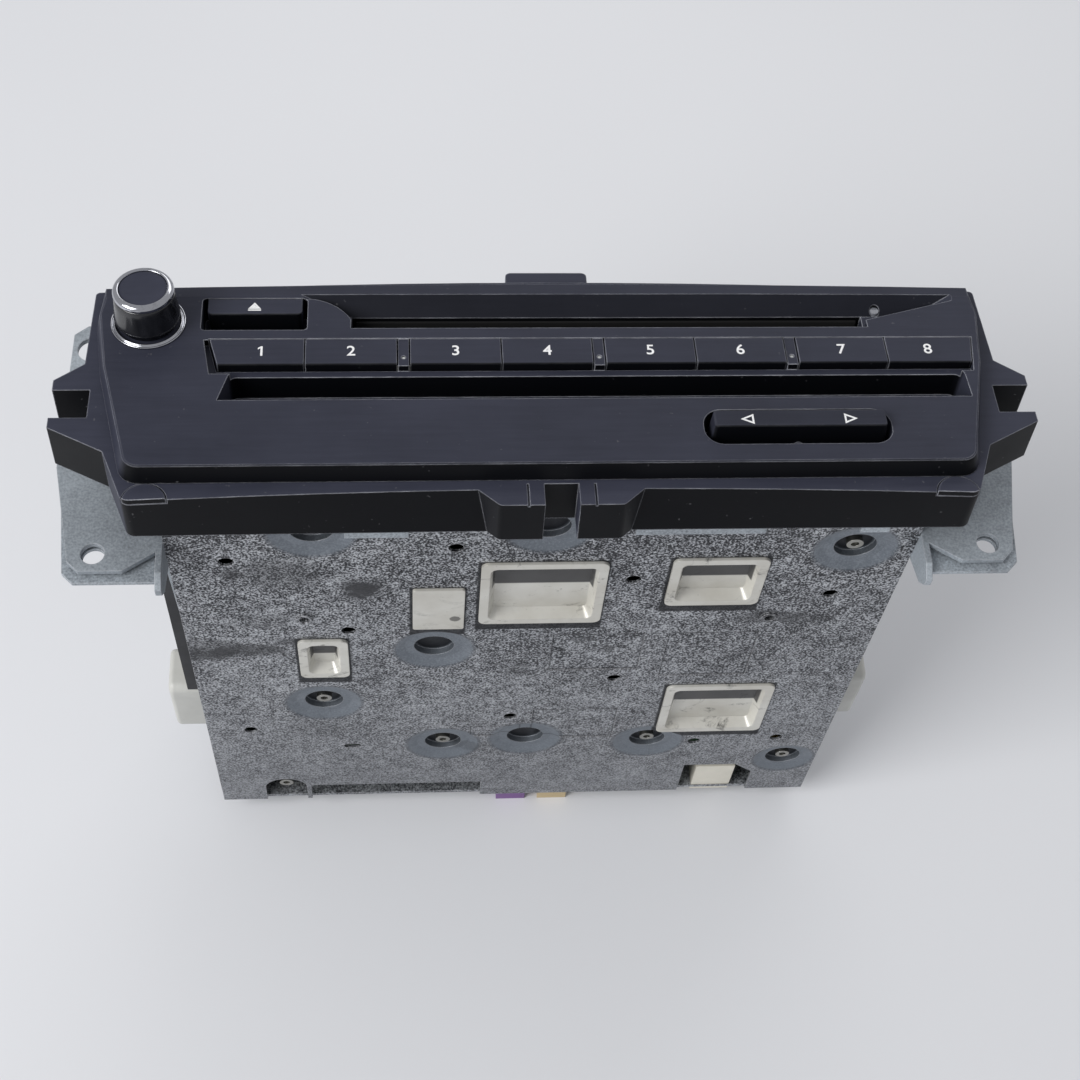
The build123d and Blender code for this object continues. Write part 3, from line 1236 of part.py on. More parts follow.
def connector_pins():
    return [rod(x, y, PIN_START, SOCKET_END + PIN_TAIL, PIN_RADIUS) for x, y in pin_places()]


def coax_connector(limits):
    x0, x1, y0, y1 = limits
    x = (x0 + x1) / 2
    y = (y0 + y1) / 2
    shell = block(x0, x1, y0, y1, -REAR_PROUD, COAX_FRONT)
    shell -= rod(x, y, -REAR_PROUD, COAX_BOTTOM, COAX_BORE)
    shell += rod(x, y, COAX_PIN_START, COAX_FRONT, COAX_PIN_RADIUS)
    half, depth, length = COAX_KEY
    shell -= block(x - half, x + half, y1 - depth, y1, -REAR_PROUD, length - REAR_PROUD)
    return shell


def accessory_connector():
    x0, x1, y0, y1 = ACCESSORY_HOUSING
    wall = ACCESSORY_WALL
    shell = block(x0, x1, y0, y1, ACCESSORY_START, ACCESSORY_FRONT)
    return shell - block(x0 + wall, x1 - wall, y0 + wall, y1 - wall, ACCESSORY_START, ACCESSORY_FLOOR)


def heat_sink():
    x0, x1 = SINK_X
    y0, y1 = SINK_Y
    sink = block(x0, x1, y0, y1, -SINK_PLATE, 0)
    pitch = (x1 - x0 - SINK_FIN) / (SINK_FINS - 1)
    for index in range(SINK_FINS):
        x = x0 + index * pitch
        sink += block(x, x + SINK_FIN, y0, y1, -REAR_PROUD, -SINK_PLATE)
    return sink


# Electronics
def main_board():
    top = MAIN_BOARD_LEVEL + BOARD_THICKNESS
    board = block(-BOARD_HALF, BOARD_HALF, MAIN_BOARD_LEVEL, top, BOARD_REAR, LIP_END)
    for x0, x1, z0, z1, rise in BOARD_PARTS:
        board += block(x0, x1, top, top + rise, z0, z1)
    for x, z in CAPACITORS:
        can = rod(x - SLOT_U, DRIVE_Z - z, top, top + CAPACITOR_HEIGHT, CAPACITOR_RADIUS)
        board += SPINDLE * can
    return board


def ribbon_cable():
    lift = CABLE_THICKNESS
    outline = CABLE_ROUTE + [(y + lift, z + lift / 2) for y, z in reversed(CABLE_ROUTE)]
    return SIDEWAYS * prism(outline, CABLE_X[0], CABLE_X[1])


# Disc drive, drawn about the spindle: x, distance to the rear, level
def drive_chassis():
    top = DECK_LEVEL + DECK_SHEET
    rear = DRIVE_Z - DECK_Z[0]
    margin = DECK_OPENING_MARGIN
    deck = block(-DECK_HALF, DECK_HALF, DRIVE_Z - DECK_Z[1], rear, DECK_LEVEL, top)
    deck -= block(
        -SCREW_LINE - margin, ROD_SPREAD + margin, DECK_OPENING_START, rear - margin, DECK_LEVEL, top
    )
    deck -= rod(0, 0, DECK_LEVEL, top, DECK_BORE)
    ear = ROLLER_EAR / 2
    roller_reach = DRIVE_Z - ROLLER_Z
    level, pivot_z = CLAMP_PIVOT
    pivot_reach = DRIVE_Z - pivot_z
    lug_x, lug_half, lug_rise = CLAMP_LUG
    for side in (-1, 1):
        inner, outer = sorted((side * DECK_HALF, side * (DECK_HALF - DECK_SHEET)))
        deck += block(inner, outer, roller_reach - ear, roller_reach + ear, top, ROLLER_EAR_TOP)
        inner, outer = sorted((side * lug_x, side * (lug_x + DECK_SHEET)))
        lug_top = level + lug_rise
        deck += block(inner, outer, pivot_reach - lug_half, pivot_reach + lug_half, DECK_LEVEL, lug_top)
        x = side * ROD_SPREAD
        for reach in ROD_LUGS:
            deck += block(x - LUG_HALF, x + LUG_HALF, reach, reach + LUG_THICKNESS, ROD_LEVEL - LUG_DROP, top)
    left, right = LEAD_SCREW_LUG
    lug_foot = LEAD_SCREW_LEVEL - LUG_DROP
    for reach in SCREW_LUGS:
        deck += block(-SCREW_LINE - left, -SCREW_LINE + right, reach, reach + LUG_THICKNESS, lug_foot, top)
    for side in (-1, 1):
        deck -= along(side * ROD_SPREAD, ROD_LEVEL, 0, BODY_DEPTH, ROD_RADIUS + ROD_FIT)
    deck -= along(-SCREW_LINE, LEAD_SCREW_LEVEL, 0, BODY_DEPTH, LEAD_SCREW_RADIUS + RUNNING_FIT)
    deck -= across(ROLLER_LEVEL, ROLLER_Z, ROLLER_SHAFT_RADIUS + RUNNING_FIT, 2 * DECK_HALF)
    deck -= across(level, pivot_z, CLAMP_PIN_RADIUS + RUNNING_FIT, 2 * (lug_x + DECK_SHEET))
    return SPINDLE * deck


def across(level, z, radius, length):
    """A cylinder along the width at a level and depth of the drive."""
    return Pos(0, DRIVE_Z - z, level) * Cylinder(radius, length, rotation=(0, 90, 0))


def along(x, level, z0, z1, radius):
    """A cylinder along the depth beside the spindle."""
    return Pos(x, DRIVE_Z - (z0 + z1) / 2, level) * Cylinder(radius, z1 - z0, rotation=(90, 0, 0))


def loading_roller():
    roller = across(ROLLER_LEVEL, ROLLER_Z, ROLLER_RADIUS, DISC_DIAMETER - 2 * ROLLER_INSET)
    roller += across(ROLLER_LEVEL, ROLLER_Z, ROLLER_SHAFT_RADIUS, 2 * DECK_HALF)
    return SPINDLE * roller


def spindle_motor():
    motor = rod(0, 0, BAR_LEVEL + SPINDLE_MOTOR_GAP, DECK_LEVEL, SPINDLE_MOTOR_RADIUS)
    return SPINDLE * (motor - rod(0, 0, SPINDLE_BORE_START, DECK_LEVEL, SPINDLE_RADIUS + RUNNING_FIT))


def turntable():
    foot_radius, head_radius, rise = CENTRING_CONE
    seat = rod(0, 0, TURNTABLE_FOOT, DISC_LEVEL, TURNTABLE_RADIUS)
    seat -= rod(0, 0, TURNTABLE_FOOT, TURNTABLE_ROOF, TURNTABLE_RADIUS - TURNTABLE_WALL)
    seat += rod(0, 0, TURNTABLE_FOOT, TURNTABLE_ROOF, TURNTABLE_HUB)
    seat += taper(0, 0, DISC_LEVEL, DISC_LEVEL + rise, foot_radius, head_radius)
    seat += rod(0, 0, SPINDLE_START, TURNTABLE_ROOF, SPINDLE_RADIUS)
    return SPINDLE * seat


def clamp_arm():
    level, pivot_z = CLAMP_PIVOT
    reach = DRIVE_Z - pivot_z
    top = level + CLAMP_SHEET
    arm = block(-CLAMP_HALF, CLAMP_HALF, -CLAMP_HALF, reach, level, top)
    arm += block(-CLAMP_ROOT_HALF, CLAMP_ROOT_HALF, reach - CLAMP_ROOT_LENGTH, reach, level, top)
    arm += across(level, pivot_z, CLAMP_HINGE_RADIUS, CLAMP_HINGE_LENGTH)
    arm += across(level, pivot_z, CLAMP_PIN_RADIUS, CLAMP_PIN_LENGTH)
    arm -= rod(0, 0, level, top, CLAMP_BORE + RUNNING_FIT)
    return SPINDLE * arm


def disc_clamp():
    foot = CLAMP_PIVOT[0] - FIT_GAP
    cap_foot = CLAMP_PIVOT[0] + CLAMP_SHEET + FIT_GAP
    puck = rod(0, 0, foot - PUCK_THICKNESS, foot, CLAMP_HALF)
    puck += rod(0, 0, foot, cap_foot, CLAMP_BORE)
    puck += rod(0, 0, cap_foot, cap_foot + CLAMP_CAP_HEIGHT, CLAMP_CAP_RADIUS)
    return SPINDLE * puck


def pickup_sled():
    near, far = SLED_REACH
    side_reach = ROD_SPREAD + SLED_MARGIN
    top = ROD_LEVEL + SLED_RISE
    sled = block(-side_reach, side_reach, near, far, ROD_LEVEL - SLED_DROP, top)
    sled += rod(0, (near + far) / 2, top, top + LENS_HOLDER_RISE, LENS_HOLDER_RADIUS)
    nut_foot = LEAD_SCREW_LEVEL - SLED_MARGIN
    sled += block(-SCREW_LINE - SLED_MARGIN, -ROD_SPREAD, near, far, nut_foot, ROD_LEVEL)
    for side in (-1, 1):
        sled -= along(side * ROD_SPREAD, ROD_LEVEL, 0, BODY_DEPTH, ROD_RADIUS + RUNNING_FIT)
    sled -= along(-SCREW_LINE, LEAD_SCREW_LEVEL, 0, BODY_DEPTH, LEAD_SCREW_RADIUS + RUNNING_FIT)
    return SPINDLE * sled


def guide_rods():
    return [SPINDLE * along(side * ROD_SPREAD, ROD_LEVEL, ROD_Z[0], ROD_Z[1], ROD_RADIUS) for side in (-1, 1)]


def lead_screw():
    start, end = LEAD_SCREW_Z
    return SPINDLE * along(-SCREW_LINE, LEAD_SCREW_LEVEL, start, end, LEAD_SCREW_RADIUS)


def sled_motor():
    start, end = SLED_MOTOR_Z
    motor = along(-SCREW_LINE, LEAD_SCREW_LEVEL, start, end, SLED_MOTOR_RADIUS)
    bore_radius = LEAD_SCREW_RADIUS + RUNNING_FIT
    motor -= along(-SCREW_LINE, LEAD_SCREW_LEVEL, start, SLED_MOTOR_BORE_END, bore_radius)
    return SPINDLE * motor


def damping_mounts():
    foot = BAR_LEVEL + BAR_SHEET
    waist = MOUNT_RADIUS - MOUNT_WAIST
    mounts = []
    for x in MOUNT_X:
        for z in MOUNT_Z:
            mount = rod(x - SLOT_U, DRIVE_Z - z, foot, DECK_LEVEL, MOUNT_RADIUS)
            groove = tube(
                x - SLOT_U, DRIVE_Z - z, foot + MOUNT_COLLAR, DECK_LEVEL - MOUNT_COLLAR, MOUNT_RADIUS, waist
            )
            mounts.append(SPINDLE * (mount - groove))
    return mounts


pieces = {
    "bezel_frame": bezel_frame(),
    "front_panel": front_panel(),
    "corner_plugs": corner_plugs(),
    "volume_knob": volume_knob(),
    "knob_chrome_ring": knob_chrome_ring(),
    "knob_cap": knob_cap(),
    "knob_base_ring": knob_base_ring(),
    "volume_encoder": volume_encoder(),
    "encoder_rotor": encoder_rotor(),
    "encoder_shaft": encoder_shaft(),
    "eject_button": eject_button(),
    "key_light_guides": key_light_guides(),
    "seek_rocker": seek_rocker(),
    "status_lens": status_lens(),
    "slot_felt_strips": slot_felt_strips(),
    "key_mat": key_mat(),
    "key_board": key_board(),
    "bottom_cover": bottom_cover(),
    "cover_tray_large": tray(LARGE_TRAY),
    "cover_tray_upper": tray(UPPER_TRAY),
    "cover_tray_lower": tray(LOWER_TRAY),
    "cover_tray_small": tray(SMALL_TRAY),
    "cover_patch": cover_patch(),
    "chassis_frame": chassis_frame(),
    "top_cover": top_cover(),
    "front_plate": front_plate(),
    "left_bracket": bracket(-1),
    "right_bracket": bracket(1),
    "left_side_rail": side_rail(-1),
    "right_side_rail": side_rail(1),
    "glide_blocks": glide_blocks(),
    "case_screws": case_screws(),
    "board_pillars": board_pillars(),
    "main_connector": main_connector(),
    "connector_pins": connector_pins(),
    "violet_coax_connector": coax_connector(VIOLET_HOUSING),
    "beige_coax_connector": coax_connector(BEIGE_HOUSING),
    "accessory_connector": accessory_connector(),
    "heat_sink": heat_sink(),
    "main_board": main_board(),
    "ribbon_cable": ribbon_cable(),
    "drive_chassis": drive_chassis(),
    "loading_roller": loading_roller(),
    "spindle_motor": spindle_motor(),
    "turntable": turntable(),
    "clamp_arm": clamp_arm(),
    "disc_clamp": disc_clamp(),
    "pickup_sled": pickup_sled(),
    "guide_rods": guide_rods(),
    "lead_screw": lead_screw(),
    "sled_motor": sled_motor(),
    "damping_mounts": damping_mounts(),
}
for number in range(1, KEY_COUNT + 1):
    pieces[f"preset_button_{number}"] = preset_button(number)

os.makedirs("parts", exist_ok=True)
for name, shape in pieces.items():
    solids = shape if isinstance(shape, list) else [shape]
    placed = [PLACE * solid for item in solids for solid in item.solids()]
    export_step(placed[0] if len(placed) == 1 else Compound(children=placed), f"parts/{name}.step")
print(f"{len(pieces)} pieces, Y shift {-(LOW_Y + HIGH_Y) / 2:.3f}")
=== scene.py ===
import json
from math import cos, pi, sin

import bmesh
import bpy
from mathutils import Matrix, Vector


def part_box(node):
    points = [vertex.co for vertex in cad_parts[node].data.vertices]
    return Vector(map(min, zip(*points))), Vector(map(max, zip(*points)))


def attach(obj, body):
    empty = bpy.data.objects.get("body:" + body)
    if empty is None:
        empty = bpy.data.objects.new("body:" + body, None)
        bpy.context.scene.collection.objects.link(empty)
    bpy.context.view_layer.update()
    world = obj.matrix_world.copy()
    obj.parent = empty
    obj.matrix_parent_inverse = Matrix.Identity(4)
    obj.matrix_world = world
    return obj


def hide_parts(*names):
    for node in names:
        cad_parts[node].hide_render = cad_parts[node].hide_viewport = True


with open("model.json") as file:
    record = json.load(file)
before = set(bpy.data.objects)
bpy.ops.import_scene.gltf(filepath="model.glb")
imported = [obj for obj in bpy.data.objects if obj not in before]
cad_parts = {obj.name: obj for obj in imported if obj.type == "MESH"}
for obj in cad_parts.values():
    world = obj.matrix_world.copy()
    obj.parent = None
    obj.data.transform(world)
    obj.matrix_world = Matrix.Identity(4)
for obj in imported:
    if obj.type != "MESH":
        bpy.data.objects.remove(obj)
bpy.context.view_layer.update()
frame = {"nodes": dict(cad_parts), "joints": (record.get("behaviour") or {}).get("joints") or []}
print("frame loaded:", len(frame["nodes"]), "nodes")

mm = 0.001
joints = {joint["name"]: joint for joint in frame["joints"]}

# the face has its own axes: across, up the face, and out of it
knobPlace = Vector(joints["volume_turn"]["pos_m"])
outOfFace = Vector(joints["volume_turn"]["axis"]).normalized()
acrossFace = Vector((1, 0, 0))
upFace = outOfFace.cross(acrossFace)
knobOnFace = (-92.2, 49.3)
faceOrigin = knobPlace - acrossFace * knobOnFace[0] * mm - upFace * knobOnFace[1] * mm
panelLevel = 4.5


def onFace(u, v, w):
    # a place on the face, from millimetres
    return faceOrigin + acrossFace * u * mm + upFace * v * mm + outOfFace * w * mm


def faceMatrix(u, v, w):
    turn = Matrix((acrossFace, upFace, outOfFace)).transposed().to_4x4()
    return Matrix.Translation(onFace(u, v, w)) @ turn


class Signal:
    # one output of a node, so that shader maths reads as Python
    def __init__(self, paint, socket):
        self.paint = paint
        self.socket = socket

    def __add__(self, other):
        return self.paint.maths("ADD", self, other)

    def __sub__(self, other):
        return self.paint.maths("SUBTRACT", self, other)

    def __mul__(self, other):
        return self.paint.maths("MULTIPLY", self, other)


class Paint:
    # a material under construction
    def __init__(self, name):
        self.material = bpy.data.materials.new(name)
        self.material.use_nodes = True
        self.tree = self.material.node_tree
        self.tree.nodes.clear()
        self.where = self.node("ShaderNodeTexCoord", out="Object")

    def node(self, kind, settings=None, inputs=None, out=0):
        # settings first, then the values or links of the sockets
        made = self.tree.nodes.new(kind)
        for key, value in (settings or {}).items():
            if key == "stops":
                self.setStops(made.color_ramp, value)
            else:
                setattr(made, key, value)
        for key, value in (inputs or {}).items():
            if isinstance(value, Signal):
                self.tree.links.new(value.socket, made.inputs[key])
            else:
                made.inputs[key].default_value = value
        return Signal(self, made.outputs[out]) if made.outputs else made

    def setStops(self, ramp, stops):
        while len(ramp.elements) < len(stops):
            ramp.elements.new(0.5)
        for element, (place, shade) in zip(ramp.elements, stops):
            element.position = place
            element.color = grey(shade) if isinstance(shade, (int, float)) else shade

    def maths(self, operation, first, second):
        return self.node("ShaderNodeMath", {"operation": operation}, {0: first, 1: second})

    def vectors(self, operation, first, second=None, out=0):
        values = {0: first} if second is None else {0: first, 1: second}
        return self.node("ShaderNodeVectorMath", {"operation": operation}, values, out)

    def range(self, value, low, high, start=0.0, end=1.0):
        limits = {"Value": value, "From Min": low, "From Max": high, "To Min": start, "To Max": end}
        return self.node("ShaderNodeMapRange", {"clamp": True}, limits)

    def stretch(self, scale, turn=(0, 0, 0), shift=(0, 0, 0)):
        values = {"Vector": self.where, "Scale": scale, "Rotation": turn, "Location": shift}
        return self.node("ShaderNodeMapping", None, values)

    def noise(self, scale, detail=3.0, roughness=0.5, vector=None, distortion=0.0):
        values = {"Vector": vector or self.where, "Scale": scale, "Detail": detail}
        values.update({"Roughness": roughness, "Distortion": distortion})
        return self.node("ShaderNodeTexNoise", None, values)

    def cells(self, scale, out="Color", feature="F1"):
        values = {"Vector": self.where, "Scale": scale}
        return self.node("ShaderNodeTexVoronoi", {"feature": feature}, values, out)

    def mix(self, share, first, second, blend="MIX"):
        values = {0: share, 6: first, 7: second}
        return self.node("ShaderNodeMix", {"data_type": "RGBA", "blend_type": blend}, values, 2)

    def bump(self, height, depth, strength, over=None):
        values = {"Height": height, "Distance": depth, "Strength": strength}
        if over:
            values["Normal"] = over
        return self.node("ShaderNodeBump", None, values)

    def softEdges(self, radius):
        return self.node("ShaderNodeBevel", {"samples": 4}, {"Radius": radius})

    def edgeMask(self, rounded):
        # 1 where a rounded normal leaves the flat one, as on an edge
        flat = self.node("ShaderNodeNewGeometry", out="Normal")
        return self.range(self.vectors("DOT_PRODUCT", rounded, flat, "Value"), 0.995, 0.8)

    def facing(self, direction, low, high):
        # 1 where the surface faces a direction, 0 where it faces away
        flat = self.node("ShaderNodeNewGeometry", out="Normal")
        return self.range(self.vectors("DOT_PRODUCT", flat, direction, "Value"), low, high)

    def along(self, direction):
        # distance along a direction, in metres
        return self.vectors("DOT_PRODUCT", self.where, direction, "Value")

    def around(self, x, z, reach, stretch=(1, 0, 1), soft=0.6, ragged=0.0, noise=None):
        # a round mask about an upright line in the cover's plane, from millimetres
        away = self.vectors("SUBTRACT", self.where, (x * mm, 0, z * mm))
        length = self.vectors("LENGTH", self.vectors("MULTIPLY", away, stretch), out="Value")
        if noise:
            length = length + (noise - 0.5) * (ragged * mm)
        return self.range(length, reach * mm, reach * soft * mm)

    def inside(self, x, z, limits, soft=0.12):
        # a mask of an upright rectangle, from its limits in metres and its softness in millimetres
        x0, x1, z0, z1 = limits
        soft *= mm
        across = self.range(x, x0 - soft, x0 + soft) * self.range(x, x1 + soft, x1 - soft)
        return across * self.range(z, z0 - soft, z0 + soft) * self.range(z, z1 + soft, z1 - soft)

    def finish(self, sockets):
        shader = self.node("ShaderNodeBsdfPrincipled", None, sockets)
        self.node("ShaderNodeOutputMaterial", None, {"Surface": shader}, None)
        return self.material


def grey(level):
    return (level, level, level, 1.0)


def tint(hexCode, level=1.0):
    # a colour as it shows on a screen, as linear light
    parts = [int(hexCode[place:place + 2], 16) / 255 for place in (0, 2, 4)]
    linear = [part / 12.92 if part <= 0.04045 else ((part + 0.055) / 1.055) ** 2.4 for part in parts]
    return (*[part * level for part in linear], 1.0)


# black moulded plastic: bezel, panel, keys and plugs
moulding = {
    "dark": tint("343642"),
    "light": tint("3e404d"),
    # painted shade: the next colour darkens faces that turn downwards, away from the light
    "under": tint("07080c"),
    # edge colour: partly wear and partly a painted highlight where rounded edges catch the light
    "wearAndHighlight": tint("c4c6ce"),
    "dust": tint("77777a"),
    "roughness": 0.42,
    "specular": 0.12,
    "grain": 2600.0,
    "grainDepth": 0.00003,
    "edge": 0.00038,
    "edgeWearAndHighlight": 1.0,
    "shade": 1.0,
}


def blackMoulding(name, edgeWearAndHighlight, dust, dim=0.0):
    paint = Paint(name)
    smudge = paint.noise(38.0, 4.0, 0.6)
    streak = paint.noise(1.0, 3.0, 0.6, paint.stretch((60, 900, 900)))
    cloud = paint.range(smudge * 0.7 + streak * 0.3, 0.35, 0.65)
    body = paint.mix(cloud, moulding["dark"], moulding["light"])
    # painted shade: faces turned downwards are darkened towards near black
    body = paint.mix(paint.facing(-upFace, 0.25, 0.75) * moulding["shade"], body, moulding["under"])
    body = paint.mix(dim, body, moulding["under"])
    rounded = paint.softEdges(moulding["edge"])
    # edges are lightened in patches: partly wear, partly a painted highlight on the rounded edges
    patchy = paint.range(paint.noise(140.0, 4.0, 0.7), 0.42, 0.62)
    edge = paint.edgeMask(rounded) * (patchy * 0.5 + 0.5) * (moulding["edgeWearAndHighlight"] * edgeWearAndHighlight)
    body = paint.mix(edge, body, moulding["wearAndHighlight"])
    speck = paint.range(paint.noise(900.0, 1.0, 0.5), 0.76, 0.82) * (0.3 * dust)
    body = paint.mix(speck, body, moulding["dust"])
    grain = paint.noise(moulding["grain"], 2.0, 0.6)
    normal = paint.bump(grain, moulding["grainDepth"], 0.6, rounded)
    rough = paint.range(smudge, 0.3, 0.7, moulding["roughness"], moulding["roughness"] + 0.12)
    values = {"Base Color": body, "Roughness": rough, "Normal": normal}
    return paint.finish({**values, "Specular IOR Level": moulding["specular"]})


# galvanised sheet: cover, case, plates and flanges
zinc = {
    "black": tint("343438"),
    "dark": tint("6d6d71"),
    "light": tint("b5b5b9"),
    "bright": tint("e3e3e6"),
    "stain": tint("3a3b3e"),
    # painted shade: the next three colours darken the dimples' bowls at ring, rim and cup; the last also
    # draws the shadow lines round the trays and the fields
    "ring": tint("7c838b"),
    "rim": tint("5b6067"),
    "shadowDark": tint("1a1b20"),
    "edge": 0.0003,
}
coverStains = [
    # middle of the stain (x, z) and its reach in millimetres, squeeze across and up, strength
    (-44.5, 142, 4.6, (0.9, 0, 0.95), 0.95),
    (-44.5, 142, 8.0, (0.9, 0, 0.95), 0.3),
    (-63, 150, 9.0, (0.8, 0, 1.0), 0.45),
    (-76, 150, 3.0, (1.0, 0, 0.7), 0.6),
    (-86, 107, 4.0, (0.35, 0, 1.0), 0.7),
    (-73, 109.5, 4.0, (0.35, 0, 1.0), 0.7),
    (-60, 114, 3.4, (0.35, 0, 1.0), 0.6),
    (-84, 111, 11.0, (1.0, 0, 1.6), 0.45),
    (-70, 126, 9.0, (1.0, 0, 1.8), 0.3),
    (60, 124, 9.0, (0.9, 0, 2.4), 0.5),
    (70, 122, 8.0, (1.0, 0, 2.0), 0.4),
    (12, 112, 4.0, (1.0, 0, 1.4), 0.5),
    (20, 106, 3.0, (1.5, 0, 1.0), 0.5),
    (-16, 44, 7.0, (0.8, 0, 2.0), 0.35),
    (-4, 96, 5.0, (1.0, 0, 1.0), 0.35),
    (-60, 60, 12.0, (1.0, 0, 1.6), 0.2),
]
stainRagged = 2.2  # how far the stains' edges wander, as a share of their reach
# dimples of the bottom cover: x, z and radius in millimetres
coverDimples = [
    (-56.5, 76.4, 10.9), (-23.3, 46.9, 10.9), (36.9, 46.0, 10.9), (75.6, 158.2, 10.9), (80.2, 31.0, 9.6),
    (-55.6, 168.4, 10.9), (-26.4, 108.0, 10.9), (0.6, 49.6, 10.9), (0.2, 169.1, 10.9),
]
cupRadius = 5.5
# embossed fields of the bottom cover: x and z limits in millimetres
coverFields = [
    (4.5, 28.8, 94.5, 115.5), (35.0, 59.0, 90.0, 115.6), (1.8, 26.0, 50.0, 69.5), (-15.7, -1.0, 52.0, 59.0),
]
fieldStep, fieldHead = 0.5, 1.0  # widths of the painted shadow lines at a field's edges, in millimetres
# painted shadow round each tray, how far it reaches: left, right, below and above, in millimetres
trayShadowReach = (0.8, 0.5, 4.4, 0.3)
traySizes = ("large", "upper", "lower", "small")


def coverSeams(paint, body):
    # painted shadow: dark lines round the trays and at the edges of the embossed fields, where their steps
    # would cast shade
    x = paint.along((1, 0, 0))
    z = paint.along((0, 0, 1))
    left, right, below, above = [reach * mm for reach in trayShadowReach]
    for node in [f"cover_tray_{size}" for size in traySizes] + ["cover_patch"]:
        low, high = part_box(node)
        limits = (low.x - left, high.x + right, low.z - below, high.z + above)
        body = paint.mix(paint.inside(x, z, limits, 0.2) * 0.92, body, zinc["shadowDark"])
    for limits in coverFields:
        x0, x1, z0, z1 = [limit * mm for limit in limits]
        step = fieldStep * mm
        whole = paint.inside(x, z, (x0, x1, z0, z1))
        edge = whole - paint.inside(x, z, (x0 + step, x1 - step, z0 + step, z1))
        head = paint.inside(x, z, (x0, x1, z1 - fieldHead * mm, z1))
        body = paint.mix(edge * 0.45, body, zinc["shadowDark"])
        body = paint.mix(head * 0.75, body, zinc["shadowDark"])
    return body


def galvanised(name, contrast, level, blue, metallic, scratches, stains=(), dimples=()):
    paint = Paint(name)
    fine = paint.noise(1800.0, 2.0, 0.6)
    flake = paint.cells(420.0)
    mottle = paint.noise(210.0, 4.0, 0.65, distortion=0.6)
    wide = paint.noise(26.0, 3.0, 0.6)
    flakeGrey = paint.node("ShaderNodeSeparateColor", None, {"Color": flake})
    tone = (fine - 0.5) * (2.2 * contrast) + (flakeGrey - 0.5) * (0.15 * contrast)
    tone = tone + (mottle - 0.5) * (0.35 * contrast) + (wide - 0.5) * 0.3
    if dimples:
        # the cover is coarser towards the face, and darker there as painted shade under the bezel
        height = paint.node("ShaderNodeSeparateXYZ", None, {"Vector": paint.where}, 2)
        tone = tone * paint.range(height, 0.02, 0.15, 0.45, 1.6)
        tone = tone - paint.range(height, 0.08, 0.15) * 0.1
    tone = tone + 0.5
    stops = [(0.12, zinc["black"]), (0.36, zinc["dark"]), (0.62, zinc["light"]), (0.95, zinc["bright"])]
    body = paint.node("ShaderNodeValToRGB", {"stops": stops}, {"Fac": tone})
    cast = (level * (1 - blue * 0.12), level * (1 - blue * 0.03), level, 1.0)
    body = paint.mix(1.0, body, cast, "MULTIPLY")
    ragged = paint.noise(150.0, 5.0, 0.75)
    # painted shade: each dimple's bowl gets a darker rim, a darker ring and a near-black cup, as if shaded
    for x, z, radius in dimples:
        body = paint.mix(paint.around(x, z, radius + 0.3, soft=0.97) * 0.6, body, zinc["rim"])
        body = paint.mix(paint.around(x, z, radius - 0.5, soft=0.95) * 0.75, body, zinc["ring"])
        body = paint.mix(paint.around(x, z, cupRadius, soft=0.8) * 0.96, body, zinc["shadowDark"])
    for x, z, reach, squeeze, strength in stains:
        # the reach is told in the squeezed distance
        blot = paint.around(x, z, reach, squeeze, 0.6, stainRagged * reach, ragged)
        body = paint.mix(blot * strength, body, zinc["stain"])
    if dimples:
        body = coverSeams(paint, body)
    line = paint.noise(1.0, 2.0, 0.5, paint.stretch((40, 40, 1500), (0, 0.5, 0)))
    other = paint.noise(1.0, 2.0, 0.5, paint.stretch((1300, 60, 60), (0, 0.35, 0), (3, 0, 1)))
    scratch = paint.range(line, 0.68, 0.74) + paint.range(other, 0.7, 0.76)
    body = paint.mix(scratch * (0.22 * scratches), body, zinc["black"])
    rounded = paint.softEdges(zinc["edge"])
    # painted highlight: edges are lightened where a rounded edge would catch the light
    edge = paint.edgeMask(rounded)
    body = paint.mix(edge * 0.4, body, zinc["bright"])
    rough = paint.range(mottle, 0.3, 0.7, 0.62, 0.42)
    normal = paint.bump(fine + mottle, 0.00003, 0.5, rounded)
    values = {"Base Color": body, "Roughness": rough, "Metallic": metallic, "Normal": normal}
    return paint.finish(values)


# bright pressed trays, with scuffs in their floors
tray = {
    "light": tint("d6d5cf"), "warm": tint("bfbcb3"), "scuff": tint("2e2d2c"), "shadow": tint("16161d"),
    "metallic": 0.3, "rim": 2.3, "floor": 0.6, "wallShare": 1.87, "shadowShare": 0.22, "weld": 1.5,
}


